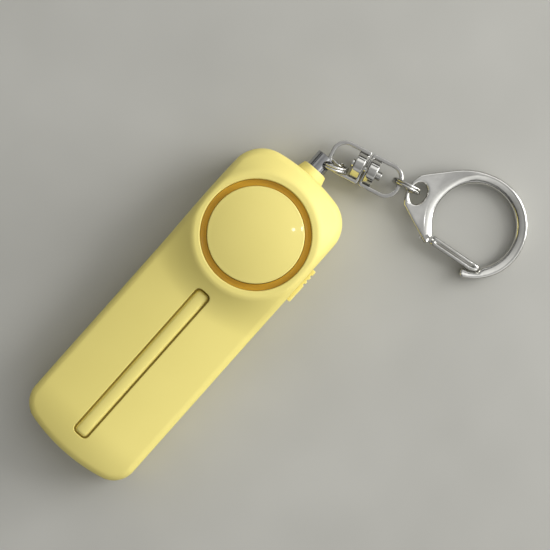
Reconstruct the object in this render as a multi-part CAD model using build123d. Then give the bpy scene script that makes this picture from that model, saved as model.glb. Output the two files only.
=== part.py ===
from build123d import *
import os
from math import asin, cos, degrees, radians, sin, sqrt, tan

os.makedirs("parts", exist_ok=True)

# Personal safety alarm on a key clasp. Millimetres, +Z up.
# The origin is the centre of the back face. +Y runs from the foot to the plug, and the
# side switch is on the +X wall.

# Case
body_width = 30.0
body_length = 85.0
body_height = 13.8
joint_height = 7.0
wall = 1.4
end_arc_radius = 45.0
foot_corner_radius = 6.0
head_corner_radius = 8.0
top_edge_radius = 2.0
back_edge_radius = 1.4
foot_slope_length = 9.5
foot_slope_drop = 1.8
overrun = 5.0

# Fits
loose_gap = 0.15
running_gap = 0.05
touch_gap = 0.05

# Head: collar, dome and light ring
head_setback = 18.5
head_length = 31.4
dome_margin = 3.6
ring_width = 1.55
collar_rise = 2.7
collar_land = 1.2
collar_angle = 50.0
collar_crest_radius = 1.2
collar_foot_radius = 4.0
ring_recess = 1.2
ring_flange = 0.8
ring_depth = 2.9
dome_rise = 1.6
dome_wall = 1.2
dome_edge_radius = 0.7
dome_skirt = 0.8
dome_skirt_wall = 0.85

# Inlay bar down the front
bar_groove_width = 4.1
bar_groove_length = 43.7
bar_groove_corner = 1.3
bar_groove_depth = 0.9
bar_gap = 0.5
bar_foot_offset = 5.45
bar_rise = 1.0
bar_crown = 0.75
bar_rib_depth = 0.8

# Sounder
sounder_wall = 0.9
sounder_floor = 0.8
sounder_height = 4.4
sounder_rim_rise = 1.2
sounder_ledge = 0.8
sounder_leg_radius = 0.9
sounder_leg_turns = (30.0, 150.0, 270.0)
disc_thickness = 0.2
ceramic_radius = 7.2
ceramic_thickness = 0.25
gasket_width = 0.95
gasket_thickness = 1.0
lead_radius = 0.5
lead_spacing = 7.2
lead_setback = 1.8
sound_slot_length = 9.0
sound_slot_width = 1.2
sound_slot_pitch = 2.6
sound_slot_count = 5

# Cells and their contacts
cell_roof_gap = 0.25
cell_nub_radius = 1.9
cell_nub_length = 1.0
cell_edge_radius = 0.6
cell_spacing = 11.2
cell_rise = 0.25
contact_thickness = 0.4
contact_width = 8.0
contact_height = 7.0
contact_tab_width = 2.0
contact_tab_length = 2.2
spring_wire_radius = 0.2
spring_radius = 2.2
spring_pitch = 1.0
spring_turns = 2

# Battery door
door_lip = 1.0
door_plate = 0.8
door_screw_pad_radius = 1.65
door_tongue_lip = 0.35
compartment_wall = 0.8
compartment_margin = 0.65

# Screws
screw_radius = 0.95
screw_head_radius = 1.5
screw_head_height = 0.9
screw_sink = 0.2
screw_length = 7.0
door_screw_length = 4.0
door_screw_radius = 0.7
door_screw_head_radius = 1.2
door_screw_head_height = 0.6
screw_pilot_gap = 0.05
boss_wall = 0.9
slot_width = 0.45
slot_depth = 0.4
slot_reach_share = 0.75

# Circuit board and what stands on it
board_thickness = 1.0
board_post_height = 1.8
board_post_radius = 1.2
board_post_spacing = 12.0
board_margin = 0.4
coil_radius = 3.0
coil_height = 4.0
coil_core_radius = 1.3
coil_flange = 0.5
coil_across_share = 0.25
chip_across_share = 0.1
chip_width = 4.0
chip_length = 5.0
chip_height = 1.5
transistor_width = 2.9
transistor_length = 1.4
transistor_height = 1.0
transistor_across = 2.5
transistor_setback = 3.7
capacitor_radius = 2.0
capacitor_height = 4.2
led_width = 2.8
led_length = 2.0
led_height = 0.9
led_lens_radius = 0.8
led_turn = 52.0

# Side switch
switch_width = 3.8
switch_length = 8.2
switch_height = 4.8
switch_wall_gap = 1.2
knob_length = 9.2
knob_height = 4.4
knob_stand = 0.9
knob_setback = 20.25
knob_travel = 3.0
knob_neck_length = 3.0
knob_neck_height = 1.8
knob_edge_radius = 0.35
knob_groove_pitch = 1.25
knob_groove_width = 0.55
knob_groove_depth = 0.35
knob_groove_count = 3
knob_groove_setback = 1.5
knob_tail_length = 1.6
knob_tail_height = 1.2
knob_tail_reach = 1.6

# Pull plug, its socket and its switch
plug_base_radius = 3.65
plug_top_radius = 3.1
plug_head_length = 2.05
plug_edge_radius = 0.35
stem_radius = 1.75
stem_length = 12.0
stem_tip_chamfer = 0.5
socket_radius = 2.9
socket_inner_length = 5.2
socket_flange = 0.8
socket_flange_width = 0.7
post_radius = 2.35
post_length = 4.05
post_edge_chamfer = 0.2
post_root_radius = 1.2
post_root_length = 1.4
eye_radius = 1.15
eye_setback = 1.75
eye_tilt = 40.0
eye_flare = 0.25
pin_switch_width = 5.0
pin_switch_length = 4.5
pin_switch_top_wall = 1.8
plunger_radius = 0.8
plunger_length = 3.4

# Split rings: two turns of wire side by side
wire_radius = 0.35
wire_pitch = 0.66
split_width = 0.12
split_turn = 50.0
split_place = 90.0
inner_ring_radius = 3.7
inner_ring_turn = 25.0
outer_ring_radius = 3.3
outer_ring_along = 10.3
outer_ring_across = -0.9
ring_floor_gap = 0.05

# Swivel: where its middle lies beyond the post's tip, and which way its axis points
swivel_along = 3.96
swivel_across = 8.58
swivel_heading = -75.7
swivel_gap = 0.4
bail_width = 8.3
bail_thickness = 0.85
bail_band = 1.7
bail_plate = 0.5
bail_corner = 3.4
bail_root_corner = 0.5
inner_bail_length = 8.8
outer_bail_length = 9.0
barrel_radius = 3.15
barrel_length = 2.1
barrel_floor_gap = 0.4
rivet_radius = 0.75
rivet_head_radius = 1.15
rivet_head_length = 1.3

# Clasp: where its eye lies from the swivel's middle, and which way it points
clasp_along = 13.72
clasp_across = -0.74
clasp_heading = -78.24
clasp_eye_height = 2.55
clasp_radius = 12.45
clasp_bore_radius = 9.9
clasp_reach = 15.2
clasp_side_radius = 17.9
clasp_side_drop = 11.8
clasp_nose_radius = 7.8
clasp_nose_half = 4.0
clasp_shoulder = 9.5
clasp_thickness = 3.2
clasp_plate = 1.7
clasp_plate_run = 4.5
clasp_taper_run = 5.0
clasp_edge_radius = 0.6
clasp_eye_width = 5.4
clasp_eye_length = 3.8
clasp_web = 0.85
clasp_bevel_rise = 0.9
clasp_bevel_run = 1.2
clasp_floor_gap = 0.05
clasp_tip_along = 17.4
clasp_tip_slope = 1.2

# Gate
gate_pin_across = 7.8
gate_pin_along = 6.8
gate_pin_radius = 0.55
gate_pin_head = 0.15
gate_left = 1.0
gate_width = 2.6
gate_thickness = 2.4
gate_edge_radius = 0.45
gate_groove_width = 0.5
gate_groove_depth = 0.6
gate_tongue = 1.1
gate_knuckle_radius = 1.2
gate_heel_gap = 1.5
gate_shoulder_gap = 0.8
gate_nose_width = 1.6
gate_nose_length = 2.6
gate_tip_gap = 0.35
gate_neck_half = 0.9
gate_leaf_thickness = 0.2

# Where the main things lie
back = 0
dome_radius = body_width / 2 - dome_margin
cell_radius = (body_height - 2 * wall - cell_rise - cell_roof_gap) / 2
head_y = body_length / 2 - head_setback
foot_y = -body_length / 2
top_y = body_length / 2
collar_height = body_height + collar_rise
bore_radius = dome_radius + ring_width
chamber_radius = bore_radius + ring_flange
ring_top = collar_height - ring_recess
ring_bottom = ring_top - ring_depth
ledge_height = ring_bottom + ring_flange
sounder_radius = dome_radius - 2 * touch_gap
sounder_bore = sounder_radius - sounder_wall
sounder_top = ring_bottom + sounder_rim_rise
sounder_bottom = sounder_top - sounder_height
disc_height = sounder_top - dome_skirt - gasket_thickness - disc_thickness
floor_top = back + wall
roof = body_height - wall
board_bottom = floor_top + board_post_height
board_top = board_bottom + board_thickness
cell_height = floor_top + cell_rise + cell_radius
spring_length = spring_pitch * spring_turns + 2 * spring_wire_radius + touch_gap
compartment_foot = foot_y + wall + 2 * (screw_radius + boss_wall) + compartment_wall - loose_gap
compartment_head = top_y - head_length
cell_stack = compartment_head - compartment_foot - 2 * touch_gap
cell_length = cell_stack - spring_length - 2 * contact_thickness
compartment_half = cell_spacing / 2 + cell_radius + compartment_margin
screw_boss_radius = screw_head_radius + boss_wall
door_boss_radius = door_screw_pad_radius + door_tongue_lip
door_screw_y = compartment_foot - compartment_wall - door_screw_pad_radius + loose_gap
plug_seat = top_y + touch_gap
stem_tip = plug_seat - stem_length
plug_top = plug_seat + plug_head_length
post_tip = plug_top + post_length
eye_y = post_tip - eye_setback
socket_start = top_y - wall - socket_inner_length
swivel_height = barrel_radius + barrel_floor_gap


def save(part, name):
    """Write one sub-part under its own name."""
    export_step(part, f"parts/{name}.step")


def group(pieces):
    """Several separate solids that share one sub-part."""
    return Compound([solid for piece in pieces for solid in piece.solids()])


def drum(radius, bottom, top):
    """An upright cylinder between two heights."""
    return Pos(0, 0, bottom) * Cylinder(radius, top - bottom, align=(Align.CENTER, Align.CENTER, Align.MIN))


def tube(outer, inner, bottom, top):
    """An upright tube between two heights."""
    return drum(outer, bottom, top) - drum(inner, bottom, top)


def block(x_span, y_span, z_span):
    """A box from its low and high value along each axis."""
    low = [min(span) for span in (x_span, y_span, z_span)]
    high = [max(span) for span in (x_span, y_span, z_span)]
    sides = [b - a for a, b in zip(low, high)]
    middle = [(a + b) / 2 for a, b in zip(low, high)]
    return Pos(*middle) * Box(*sides)


def rod(radius, start, end):
    """A cylinder along Y at the plug's height, between two places."""
    return Pos(0, start, joint_height) * Rot(-90, 0, 0) * drum(radius, 0, end - start)


def body_plan(inset=0):
    """The case's outline seen from the front, drawn in all round by an inset."""
    head = Pos(0, top_y / 2) * Rectangle(body_width - 2 * inset, top_y)
    head = head & Pos(0, top_y - end_arc_radius) * Circle(end_arc_radius - inset)
    plan = head + mirror(head, about=Plane.XZ)
    plan = fillet(plan.vertices().sort_by(Axis.Y)[:2], foot_corner_radius - inset)
    return fillet(plan.vertices().sort_by(Axis.Y)[-2:], head_corner_radius - inset)


def foot_slope():
    """What the soft slope at the foot takes off a flat top."""
    radius = (foot_slope_length ** 2 + foot_slope_drop ** 2) / (2 * foot_slope_drop)
    start = foot_y + foot_slope_length
    far = foot_slope_length + overrun
    end_height = body_height - radius + sqrt(radius ** 2 - far ** 2)
    half = (start + foot_y - overrun) / 2
    half_height = body_height - radius + sqrt(radius ** 2 - (start - half) ** 2)
    arc = ThreePointArc((start, body_height), (half, half_height), (foot_y - overrun, end_height))
    rest = Polyline(
        (foot_y - overrun, end_height),
        (foot_y - overrun, body_height + overrun),
        (start, body_height + overrun),
        (start, body_height),
    )
    side = Plane.YZ * make_face(arc + rest)
    return extrude(side, body_width, both=True)


def collar():
    """The raised mound round the dome, turned about the dome's axis."""
    crest = bore_radius + collar_land
    foot = crest + collar_rise / tan(radians(collar_angle))
    skirt = foot + collar_foot_radius
    outline = Polyline(
        (0, joint_height),
        (skirt, joint_height),
        (skirt, body_height),
        (foot, body_height),
        (crest, collar_height),
        (0, collar_height),
        close=True,
    )
    face = make_face(outline)
    bends = face.vertices()
    foot_bend = bends.sort_by_distance((foot, body_height, 0))[0]
    face = fillet(foot_bend, collar_foot_radius)
    crest_bend = face.vertices().sort_by_distance((crest, collar_height, 0))[0]
    face = fillet(crest_bend, collar_crest_radius)
    return Pos(0, head_y) * revolve(Plane.XZ * face, Axis.Z)


def case_form():
    """The whole case as one solid: body, foot slope, collar and rounded edges."""
    plan = body_plan()
    form = extrude(plan, body_height) - foot_slope()
    mound = collar() & extrude(plan, collar_height)
    form = form + mound
    rim = plan.wire()
    high = [
        edge
        for edge in form.edges()
        if edge.bounding_box().min.Z > joint_height
        and all(rim.distance_to(Vertex(*(Vector(p.X, p.Y, 0)))) < running_gap for p in (edge @ 0, edge @ 0.5, edge @ 1))
    ]
    form = fillet(high, top_edge_radius)
    low = [edge for edge in form.edges() if edge.bounding_box().max.Z < running_gap]
    return fillet(low, back_edge_radius)


def screw_places():
    """The four case screws: two beside the battery door's end, two in the head's corners."""
    low_y = compartment_head + door_lip + screw_head_radius + loose_gap
    low = (body_width / 2 - wall - boss_wall - screw_radius + loose_gap, low_y)
    high = (body_width / 2 - wall - screw_boss_radius - board_margin, top_y - wall - screw_boss_radius - board_margin)
    return [(side * x, y) for x, y in (low, high) for side in (-1, 1)]


def cavity():
    """The hollow inside the case, without its bosses and ribs."""
    hollow = Pos(0, 0, floor_top) * extrude(body_plan(wall), roof - floor_top)
    hollow = hollow - Pos(0, wall, -wall) * foot_slope()
    return hollow + Pos(0, head_y) * drum(chamber_radius, floor_top, ledge_height)


def upper(part):
    """The half of a solid that lies in front of the joint."""
    return part & block((-body_width, body_width), (-body_length, body_length), (joint_height, 2 * collar_height))


def lower(part):
    """The half of a solid that lies behind the joint."""
    return part & block((-body_width, body_width), (-body_length, body_length), (-overrun, joint_height))


def bar_plan(inset=0):
    """The inlay bar's pocket seen from the front, drawn in by an inset."""
    width = bar_groove_width - 2 * inset
    length = bar_groove_length - 2 * inset
    middle = foot_y + bar_foot_offset + bar_groove_length / 2
    return Pos(0, middle) * RectangleRounded(width, length, bar_groove_corner - inset)


def knob_middle():
    """Where the side switch's knob rests along the wall."""
    return top_y - knob_setback


def knob_height_middle():
    """The knob's middle above the back, so that its neck clears the joint."""
    return joint_height + loose_gap + knob_neck_height / 2


def socket_hole():
    """The round hole in the head wall that holds the plug's socket."""
    return rod(socket_radius + touch_gap, top_y - wall - overrun, top_y + overrun)


def knob_slot():
    """The slot in the side wall that the knob's neck slides along."""
    middle = knob_middle() + knob_travel / 2
    half = (knob_neck_length + knob_travel) / 2 + loose_gap
    top = knob_height_middle() + knob_neck_height / 2 + loose_gap
    inner = body_width / 2 - wall - screw_boss_radius
    return block((inner, body_width), (middle - half, middle + half), (joint_height, top))


def front_shell(case):
    """The front half: collar, pockets, wall slot and screw bosses."""
    bosses = [Pos(x, y) * drum(screw_radius + boss_wall, joint_height, roof + touch_gap) for x, y in screw_places()]
    pilots = [Pos(x, y) * drum(screw_radius + screw_pilot_gap, joint_height, roof) for x, y in screw_places()]
    inside = cavity()
    rib_middle = foot_y + bar_foot_offset + bar_groove_length / 2
    rib_half = bar_groove_length / 2 - foot_slope_length
    rib = block(
        (-bar_groove_width / 2, bar_groove_width / 2),
        (rib_middle - rib_half, rib_middle + rib_half),
        (roof - bar_rib_depth, roof + touch_gap),
    )
    shell = upper(case) - inside + bosses + rib - pilots
    shell = shell - Pos(0, head_y) * drum(bore_radius, joint_height, 2 * collar_height)
    pocket_floor = body_height - bar_groove_depth
    shell = shell - Pos(0, 0, pocket_floor) * extrude(bar_plan(), 2 * collar_height)
    return shell - socket_hole() - knob_slot()


def opening_plan(margin):
    """The opening in the back that the cells go in by, grown by a margin."""
    low = compartment_foot - margin
    high = compartment_head + margin
    return Pos(0, (low + high) / 2) * Rectangle(2 * (compartment_half + margin), high - low)


def door_plan(margin, tongue_margin):
    """The battery door's outline: the opening grown by a margin, with a round tongue for its screw."""
    half = door_screw_pad_radius + tongue_margin
    neck = Pos(0, (door_screw_y + compartment_foot) / 2) * Rectangle(2 * half, compartment_foot - door_screw_y)
    return opening_plan(margin) + neck + Pos(0, door_screw_y) * Circle(half)


def rear_shell(case):
    """The back half: battery opening, compartment walls, board posts and screw tubes."""
    inside = lower(cavity())
    low = compartment_foot
    high = compartment_head
    half = compartment_half
    outer = block(
        (-half - compartment_wall, half + compartment_wall),
        (low - compartment_wall, high + compartment_wall),
        (floor_top - touch_gap, joint_height - loose_gap),
    )
    inner = block((-half, half), (low, high), (-overrun, joint_height + overrun))
    bosses = [Pos(x, y) * drum(screw_boss_radius, floor_top - touch_gap, joint_height) for x, y in screw_places()]
    door_boss = Pos(0, door_screw_y) * drum(door_boss_radius, floor_top - touch_gap, joint_height - loose_gap)
    posts = [Pos(x, y) * drum(board_post_radius, floor_top - touch_gap, board_bottom) for x, y in board_posts()]
    shell = lower(case) - inside
    shell = shell + (outer & lower(case)) + bosses + door_boss + posts
    shell = shell - inner
    for x, y in screw_places():
        shell = shell - Pos(x, y) * drum(screw_radius + loose_gap, -overrun, joint_height)
        shell = shell - Pos(x, y) * drum(screw_head_radius + touch_gap, -overrun, screw_sink + screw_head_height)
    rebate = Pos(0, 0, -overrun) * extrude(door_plan(door_lip, door_tongue_lip), overrun + door_plate + touch_gap)
    shell = shell - rebate
    shell = shell - Pos(0, door_screw_y) * drum(door_screw_pad_radius, -overrun, floor_top)
    shell = shell - Pos(0, door_screw_y) * drum(door_screw_radius + screw_pilot_gap, -overrun, joint_height)
    tabs = [
        block(
            (x - contact_tab_width / 2 - loose_gap, x + contact_tab_width / 2 + loose_gap),
            (high - touch_gap, high + compartment_wall + touch_gap),
            (board_top - touch_gap, joint_height),
        )
        for x in (-cell_spacing / 2, cell_spacing / 2)
    ]
    slots = [
        Pos(0, head_y + step * sound_slot_pitch) * drum_slot()
        for step in range(-(sound_slot_count // 2), sound_slot_count // 2 + 1)
    ]
    return shell - tabs - slots - socket_hole()


def drum_slot():
    """One sound slot through the back, with round ends."""
    return Pos(0, 0, -overrun) * extrude(SlotOverall(sound_slot_length, sound_slot_width), floor_top + overrun + touch_gap)


def board_posts():
    """The posts that carry the circuit board."""
    low = compartment_head + compartment_wall + loose_gap + board_margin + board_post_radius
    x = board_post_spacing / 2
    return [(side * x, y) for y in (low, head_y + chamber_radius / 2) for side in (-1, 1)]


def circuit_board():
    """The board, cut back from the screw tubes and the plug's socket."""
    plan = body_plan(wall + board_margin)
    start = compartment_head + compartment_wall + loose_gap
    area = Pos(0, start + body_length / 2) * Rectangle(body_width, body_length)
    plan = plan & area
    for x, y in screw_places():
        plan = plan - Pos(x, y) * Circle(screw_boss_radius + board_margin)
    notch_half = socket_radius + socket_flange_width + board_margin
    notch_start = socket_start - board_margin
    notch = Pos(0, notch_start + body_length / 2) * Rectangle(2 * notch_half, body_length)
    return Pos(0, 0, board_bottom) * extrude(plan - notch, board_thickness)


def cap_line(radius, edge_height, ball):
    """Half of a shallow ball cap seen from the side, from the axis out to its edge."""
    centre = edge_height - sqrt(ball ** 2 - radius ** 2)
    half = radius / 2
    half_height = centre + sqrt(ball ** 2 - half ** 2)
    return ThreePointArc((0, centre + ball), (half, half_height), (radius, edge_height))


def dome_cap():
    """The dome: a shallow turned cap with a skirt that seats in the sounder."""
    rim = collar_height - loose_gap
    outer_radius = dome_radius - touch_gap
    inner_radius = outer_radius - dome_wall
    seat = sounder_top
    ball = (outer_radius ** 2 + dome_rise ** 2) / (2 * dome_rise)
    inner_rim = rim + sqrt(ball ** 2 - inner_radius ** 2) - sqrt(ball ** 2 - outer_radius ** 2) - dome_wall
    top = cap_line(outer_radius, rim, ball)
    under = cap_line(inner_radius, inner_rim, ball)
    walls = Polyline((outer_radius, rim), (outer_radius, seat), (inner_radius, seat), (inner_radius, inner_rim))
    face = make_face(top + walls + under + Line(under @ 0, top @ 0))
    edge = face.vertices().sort_by_distance((outer_radius, rim, 0))[0]
    cap = revolve(Plane.XZ * fillet(edge, dome_edge_radius), Axis.Z)
    skirt_outer = sounder_bore - touch_gap
    skirt = tube(skirt_outer, skirt_outer - dome_skirt_wall, seat - dome_skirt, seat + dome_wall)
    return Pos(0, head_y) * (cap + skirt)


def light_ring():
    """The amber ring between dome and collar, with a flange under the collar."""
    body = drum(bore_radius - touch_gap, ring_bottom, ring_top)
    flange = drum(chamber_radius - touch_gap, ring_bottom, ledge_height)
    bore = drum(dome_radius + touch_gap, ring_bottom - overrun, ring_top + overrun)
    return Pos(0, head_y) * (body + flange - bore)


def sounder_case():
    """The sounder's cup, with a flange under the light ring and three legs on the board."""
    cup = drum(sounder_radius, sounder_bottom, sounder_top)
    flange = drum(chamber_radius - touch_gap, ring_bottom - ring_flange, ring_bottom)
    hollow = drum(sounder_bore - sounder_ledge, sounder_bottom + sounder_floor, sounder_top)
    seat = drum(sounder_bore, disc_height, sounder_top)
    legs = [Pos(x, y) * drum(sounder_leg_radius, board_top, sounder_bottom + touch_gap) for x, y in leg_places()]
    holes = [Pos(x, y) * drum(lead_radius + loose_gap, sounder_bottom - overrun, disc_height) for x, y in lead_places()]
    return Pos(0, head_y) * (cup + flange + legs - hollow - seat - holes)


def leg_places():
    """The sounder's legs, seen from the dome's axis."""
    reach = sounder_radius - sounder_leg_radius - loose_gap
    return [(reach * cos(radians(a)), reach * sin(radians(a))) for a in sounder_leg_turns]


def lead_places():
    """The sounder's two leads, seen from the dome's axis."""
    return [(side * lead_spacing / 2, -lead_setback) for side in (-1, 1)]


def sounder_leads():
    """Two contact pins from the board to the disc."""
    return group([Pos(x, head_y + y) * drum(lead_radius, board_top, disc_height) for x, y in lead_places()])


def sounder_diaphragm():
    """The thin brass disc."""
    return Pos(0, head_y) * drum(sounder_bore - touch_gap, disc_height, disc_height + disc_thickness)


def piezo_ceramic():
    """The ceramic disc bonded to the brass."""
    bottom = disc_height + disc_thickness
    return Pos(0, head_y) * drum(ceramic_radius, bottom, bottom + ceramic_thickness)


def sounder_gasket():
    """The soft ring between the brass disc and the dome's skirt."""
    bottom = disc_height + disc_thickness
    outer = sounder_bore - touch_gap
    return Pos(0, head_y) * tube(outer, outer - gasket_width, bottom, sounder_top - dome_skirt)


def bar_inlay():
    """The inlay bar, crowned like a half-round and sunk in its pocket."""
    width = bar_groove_width - 2 * bar_gap
    bottom = body_height - bar_groove_depth
    radius = (width ** 2 / 4 + bar_crown ** 2) / (2 * bar_crown)
    top = bottom + bar_rise
    middle = foot_y + bar_foot_offset + bar_groove_length / 2
    plan = Pos(0, 0, bottom) * extrude(bar_plan(bar_gap), bar_rise)
    crown = Pos(0, middle, top - radius) * Rot(90, 0, 0) * Cylinder(radius, 2 * body_length)
    return (plan & crown) - foot_slope_shift()


def foot_slope_shift():
    """The foot slope, lowered so that the bar follows it down into its pocket."""
    return Pos(0, 0, bar_rise - bar_groove_depth) * foot_slope()


def cell(x, towards_head):
    """One cell, standing off its contacts, with its nub at either end."""
    foot = compartment_foot + touch_gap + contact_thickness
    barrel = drum(cell_radius, 0, cell_length - cell_nub_length)
    barrel = fillet(barrel.edges().filter_by(GeomType.CIRCLE), cell_edge_radius)
    form = barrel + drum(cell_nub_radius, cell_length - cell_nub_length - touch_gap, cell_length)
    if towards_head:
        return Pos(x, foot + spring_length, cell_height) * Rot(-90, 0, 0) * form
    return Pos(x, foot + cell_length, cell_height) * Rot(90, 0, 0) * form


def contact_plate(x, y):
    """A flat contact, from its low Y face."""
    half = contact_width / 2
    bottom = cell_height - contact_height / 2
    return block((x - half, x + half), (y, y + contact_thickness), (bottom, bottom + contact_height))


def head_contact(x):
    """A contact at the head end, with a tab that reaches onto the board."""
    start = compartment_head - touch_gap - contact_thickness
    half = contact_tab_width / 2
    tab = block(
        (x - half, x + half),
        (start, start + contact_tab_length),
        (board_top, board_top + contact_thickness),
    )
    return contact_plate(x, start) + tab


def bridge_contact():
    """The strip at the foot end that joins the two cells."""
    start = compartment_foot + touch_gap
    left = contact_plate(-cell_spacing / 2, start)
    right = contact_plate(cell_spacing / 2, start)
    half = cell_spacing / 2
    link = block(
        (-half, half),
        (start, start + contact_thickness),
        (cell_height - contact_tab_width / 2, cell_height + contact_tab_width / 2),
    )
    return left + right + link


def cell_spring(x, y, turn):
    """A coil spring that stands off a contact along Y."""
    line = Helix(spring_pitch, spring_pitch * spring_turns, spring_radius)
    section = Plane(line @ 0, z_dir=line % 0) * Circle(spring_wire_radius)
    coil = sweep(section, path=line, is_frenet=True)
    return Pos(x, y, cell_height) * Rot(turn, 0, 0) * Pos(0, 0, spring_wire_radius) * coil


def cell_springs():
    """The two springs: at the foot under the left cell and at the head under the right one."""
    foot = compartment_foot + touch_gap + contact_thickness
    head = compartment_head - touch_gap - contact_thickness
    left = cell_spring(-cell_spacing / 2, foot, -90)
    right = cell_spring(cell_spacing / 2, head, 90)
    return group([left, right])


def battery_door():
    """The door: a thin plate in the back's rebate, with a pad that fills the opening."""
    plate = extrude(door_plan(door_lip - loose_gap, door_tongue_lip - loose_gap), door_plate)
    pad = extrude(opening_plan(-loose_gap), wall - touch_gap)
    pad = pad + Pos(0, door_screw_y) * drum(door_screw_pad_radius - loose_gap, 0, wall - touch_gap)
    door = plate + pad
    door = door - Pos(0, door_screw_y) * drum(door_screw_radius + loose_gap, -overrun, wall)
    seat = screw_sink + door_screw_head_height
    return door - Pos(0, door_screw_y) * drum(door_screw_head_radius + touch_gap, -overrun, seat)


def screw(length, radius, head_radius, head_height):
    """A cross-slotted screw, head down, its head sunk in the back."""
    head = drum(head_radius, screw_sink, screw_sink + head_height)
    shank = drum(radius, screw_sink, screw_sink + head_height + length)
    slot = Box(2 * head_radius * slot_reach_share, slot_width, 2 * slot_depth)
    cross = slot + Rot(0, 0, 90) * slot
    return head + shank - Pos(0, 0, screw_sink) * cross


def case_screws():
    """The four case screws."""
    one = screw(screw_length, screw_radius, screw_head_radius, screw_head_height)
    return group([Pos(x, y) * one for x, y in screw_places()])


def door_screw():
    """The battery door's screw."""
    return Pos(0, door_screw_y) * screw(door_screw_length, door_screw_radius, door_screw_head_radius, door_screw_head_height)


def boost_coil():
    """The wound coil that raises the sounder's voltage."""
    x, y = -body_width * coil_across_share, head_y - coil_radius
    core = drum(coil_core_radius, board_top, board_top + coil_height)
    ends = drum(coil_radius, board_top, board_top + coil_flange)
    ends = ends + drum(coil_radius, board_top + coil_height - coil_flange, board_top + coil_height)
    winding = drum(coil_radius - coil_flange, board_top, board_top + coil_height)
    return Pos(x, y) * (core + ends + winding)


def chip_on_board(x, y, width, length, height):
    """A flat part on the board with a named footprint."""
    return block((x - width / 2, x + width / 2), (y - length / 2, y + length / 2), (board_top, board_top + height))


def controller_chip():
    """The control circuit."""
    return chip_on_board(body_width * chip_across_share, head_y - chip_length, chip_width, chip_length, chip_height)


def driver_transistors():
    """The two switching transistors."""
    x = -transistor_across
    first = head_y - transistor_setback
    return group(
        [
            chip_on_board(x, first - step * 2 * transistor_length, transistor_width, transistor_length, transistor_height)
            for step in range(2)
        ]
    )


def capacitors():
    """The two upright capacitors beside the plug's switch."""
    x = pin_switch_width / 2 + capacitor_radius + board_margin
    y = stem_tip - capacitor_radius
    return group([Pos(side * x, y) * drum(capacitor_radius, board_top, board_top + capacitor_height) for side in (-1, 1)])


def strobe_leds():
    """Four lamps on the board under the light ring."""
    reach = sounder_radius + led_length / 2
    lamps = []
    for turn in (led_turn, 180 - led_turn, 180 + led_turn, -led_turn):
        x = reach * cos(radians(turn))
        y = head_y + reach * sin(radians(turn))
        body = chip_on_board(x, y, led_width, led_length, led_height)
        lens = Pos(x, y) * drum(led_lens_radius, board_top, board_top + 2 * led_height)
        lamps.append(body + lens)
    return group(lamps)


def slide_switch():
    """The switch body on the board, open where the knob's tail runs."""
    outer = body_width / 2 - wall - switch_wall_gap
    middle = knob_middle() + knob_travel / 2
    body = block(
        (outer - switch_width, outer),
        (middle - switch_length / 2, middle + switch_length / 2),
        (board_top, board_top + switch_height),
    )
    half = (knob_tail_length + knob_travel) / 2 + loose_gap
    low = knob_height_middle() - knob_tail_height / 2 - loose_gap
    slot = block(
        (outer - knob_tail_reach - loose_gap, outer + overrun),
        (middle - half, middle + half),
        (low, board_top + switch_height + overrun),
    )
    return body - slot


def side_knob():
    """The knob on the side wall, with its neck through the wall and its tail in the switch."""
    face = body_width / 2 + running_gap
    middle = knob_middle()
    height = knob_height_middle()
    paddle = block(
        (face, face + knob_stand),
        (middle - knob_length / 2, middle + knob_length / 2),
        (height - knob_height / 2, height + knob_height / 2),
    )
    outer_edges = paddle.faces().sort_by(Axis.X)[-1].edges()
    paddle = fillet(outer_edges, knob_edge_radius)
    for step in range(knob_groove_count):
        y = middle + knob_length / 2 - knob_groove_setback - step * knob_groove_pitch
        paddle = paddle - block(
            (face + knob_stand - knob_groove_depth, face + 2 * knob_stand),
            (y - knob_groove_width / 2, y + knob_groove_width / 2),
            (height - knob_height, height + knob_height),
        )
    half = knob_neck_length / 2
    switch_face = body_width / 2 - wall - switch_wall_gap
    neck = block(
        (switch_face + loose_gap, face + touch_gap),
        (middle - half, middle + half),
        (height - knob_neck_height / 2, height + knob_neck_height / 2),
    )
    tail = block(
        (switch_face - knob_tail_reach, face),
        (middle - knob_tail_length / 2, middle + knob_tail_length / 2),
        (height - knob_tail_height / 2, height + knob_tail_height / 2),
    )
    return paddle + neck + tail


def pull_plug():
    """The plug: a tapered head outside the case and a stem down to its switch."""
    head = Pos(0, plug_seat, joint_height) * Rot(-90, 0, 0) * Cone(
        plug_base_radius,
        plug_top_radius,
        plug_head_length,
        align=(Align.CENTER, Align.CENTER, Align.MIN),
    )
    head = fillet(head.faces().sort_by(Axis.Y)[-1].edges(), plug_edge_radius)
    stem = rod(stem_radius, stem_tip, plug_seat + touch_gap)
    stem = chamfer(stem.faces().sort_by(Axis.Y)[0].edges(), stem_tip_chamfer)
    root = rod(post_root_radius + touch_gap, plug_top - post_root_length - touch_gap, plug_top + overrun)
    return head + stem - root


def eye_direction():
    """The eye's axis through the post, leaning over towards the side switch."""
    lean = radians(eye_tilt)
    return Vector(sin(lean), 0, cos(lean))


def plug_post():
    """The metal post on the plug, with a cross eye for the first ring."""
    body = rod(post_radius, plug_top + touch_gap, post_tip)
    body = chamfer(body.faces().sort_by(Axis.Y)[-1].edges(), post_edge_chamfer)
    root = rod(post_root_radius, plug_top - post_root_length, plug_top + 2 * touch_gap)
    middle = Pos(0, eye_y, joint_height) * Rot(0, eye_tilt, 0)
    eye = middle * Cylinder(eye_radius, 4 * post_radius)
    mouth = middle * Pos(0, 0, post_radius + eye_flare - eye_radius) * Cone(
        eye_radius,
        2 * eye_radius,
        eye_radius,
        align=(Align.CENTER, Align.CENTER, Align.MIN),
    )
    return body + root - eye


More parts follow.
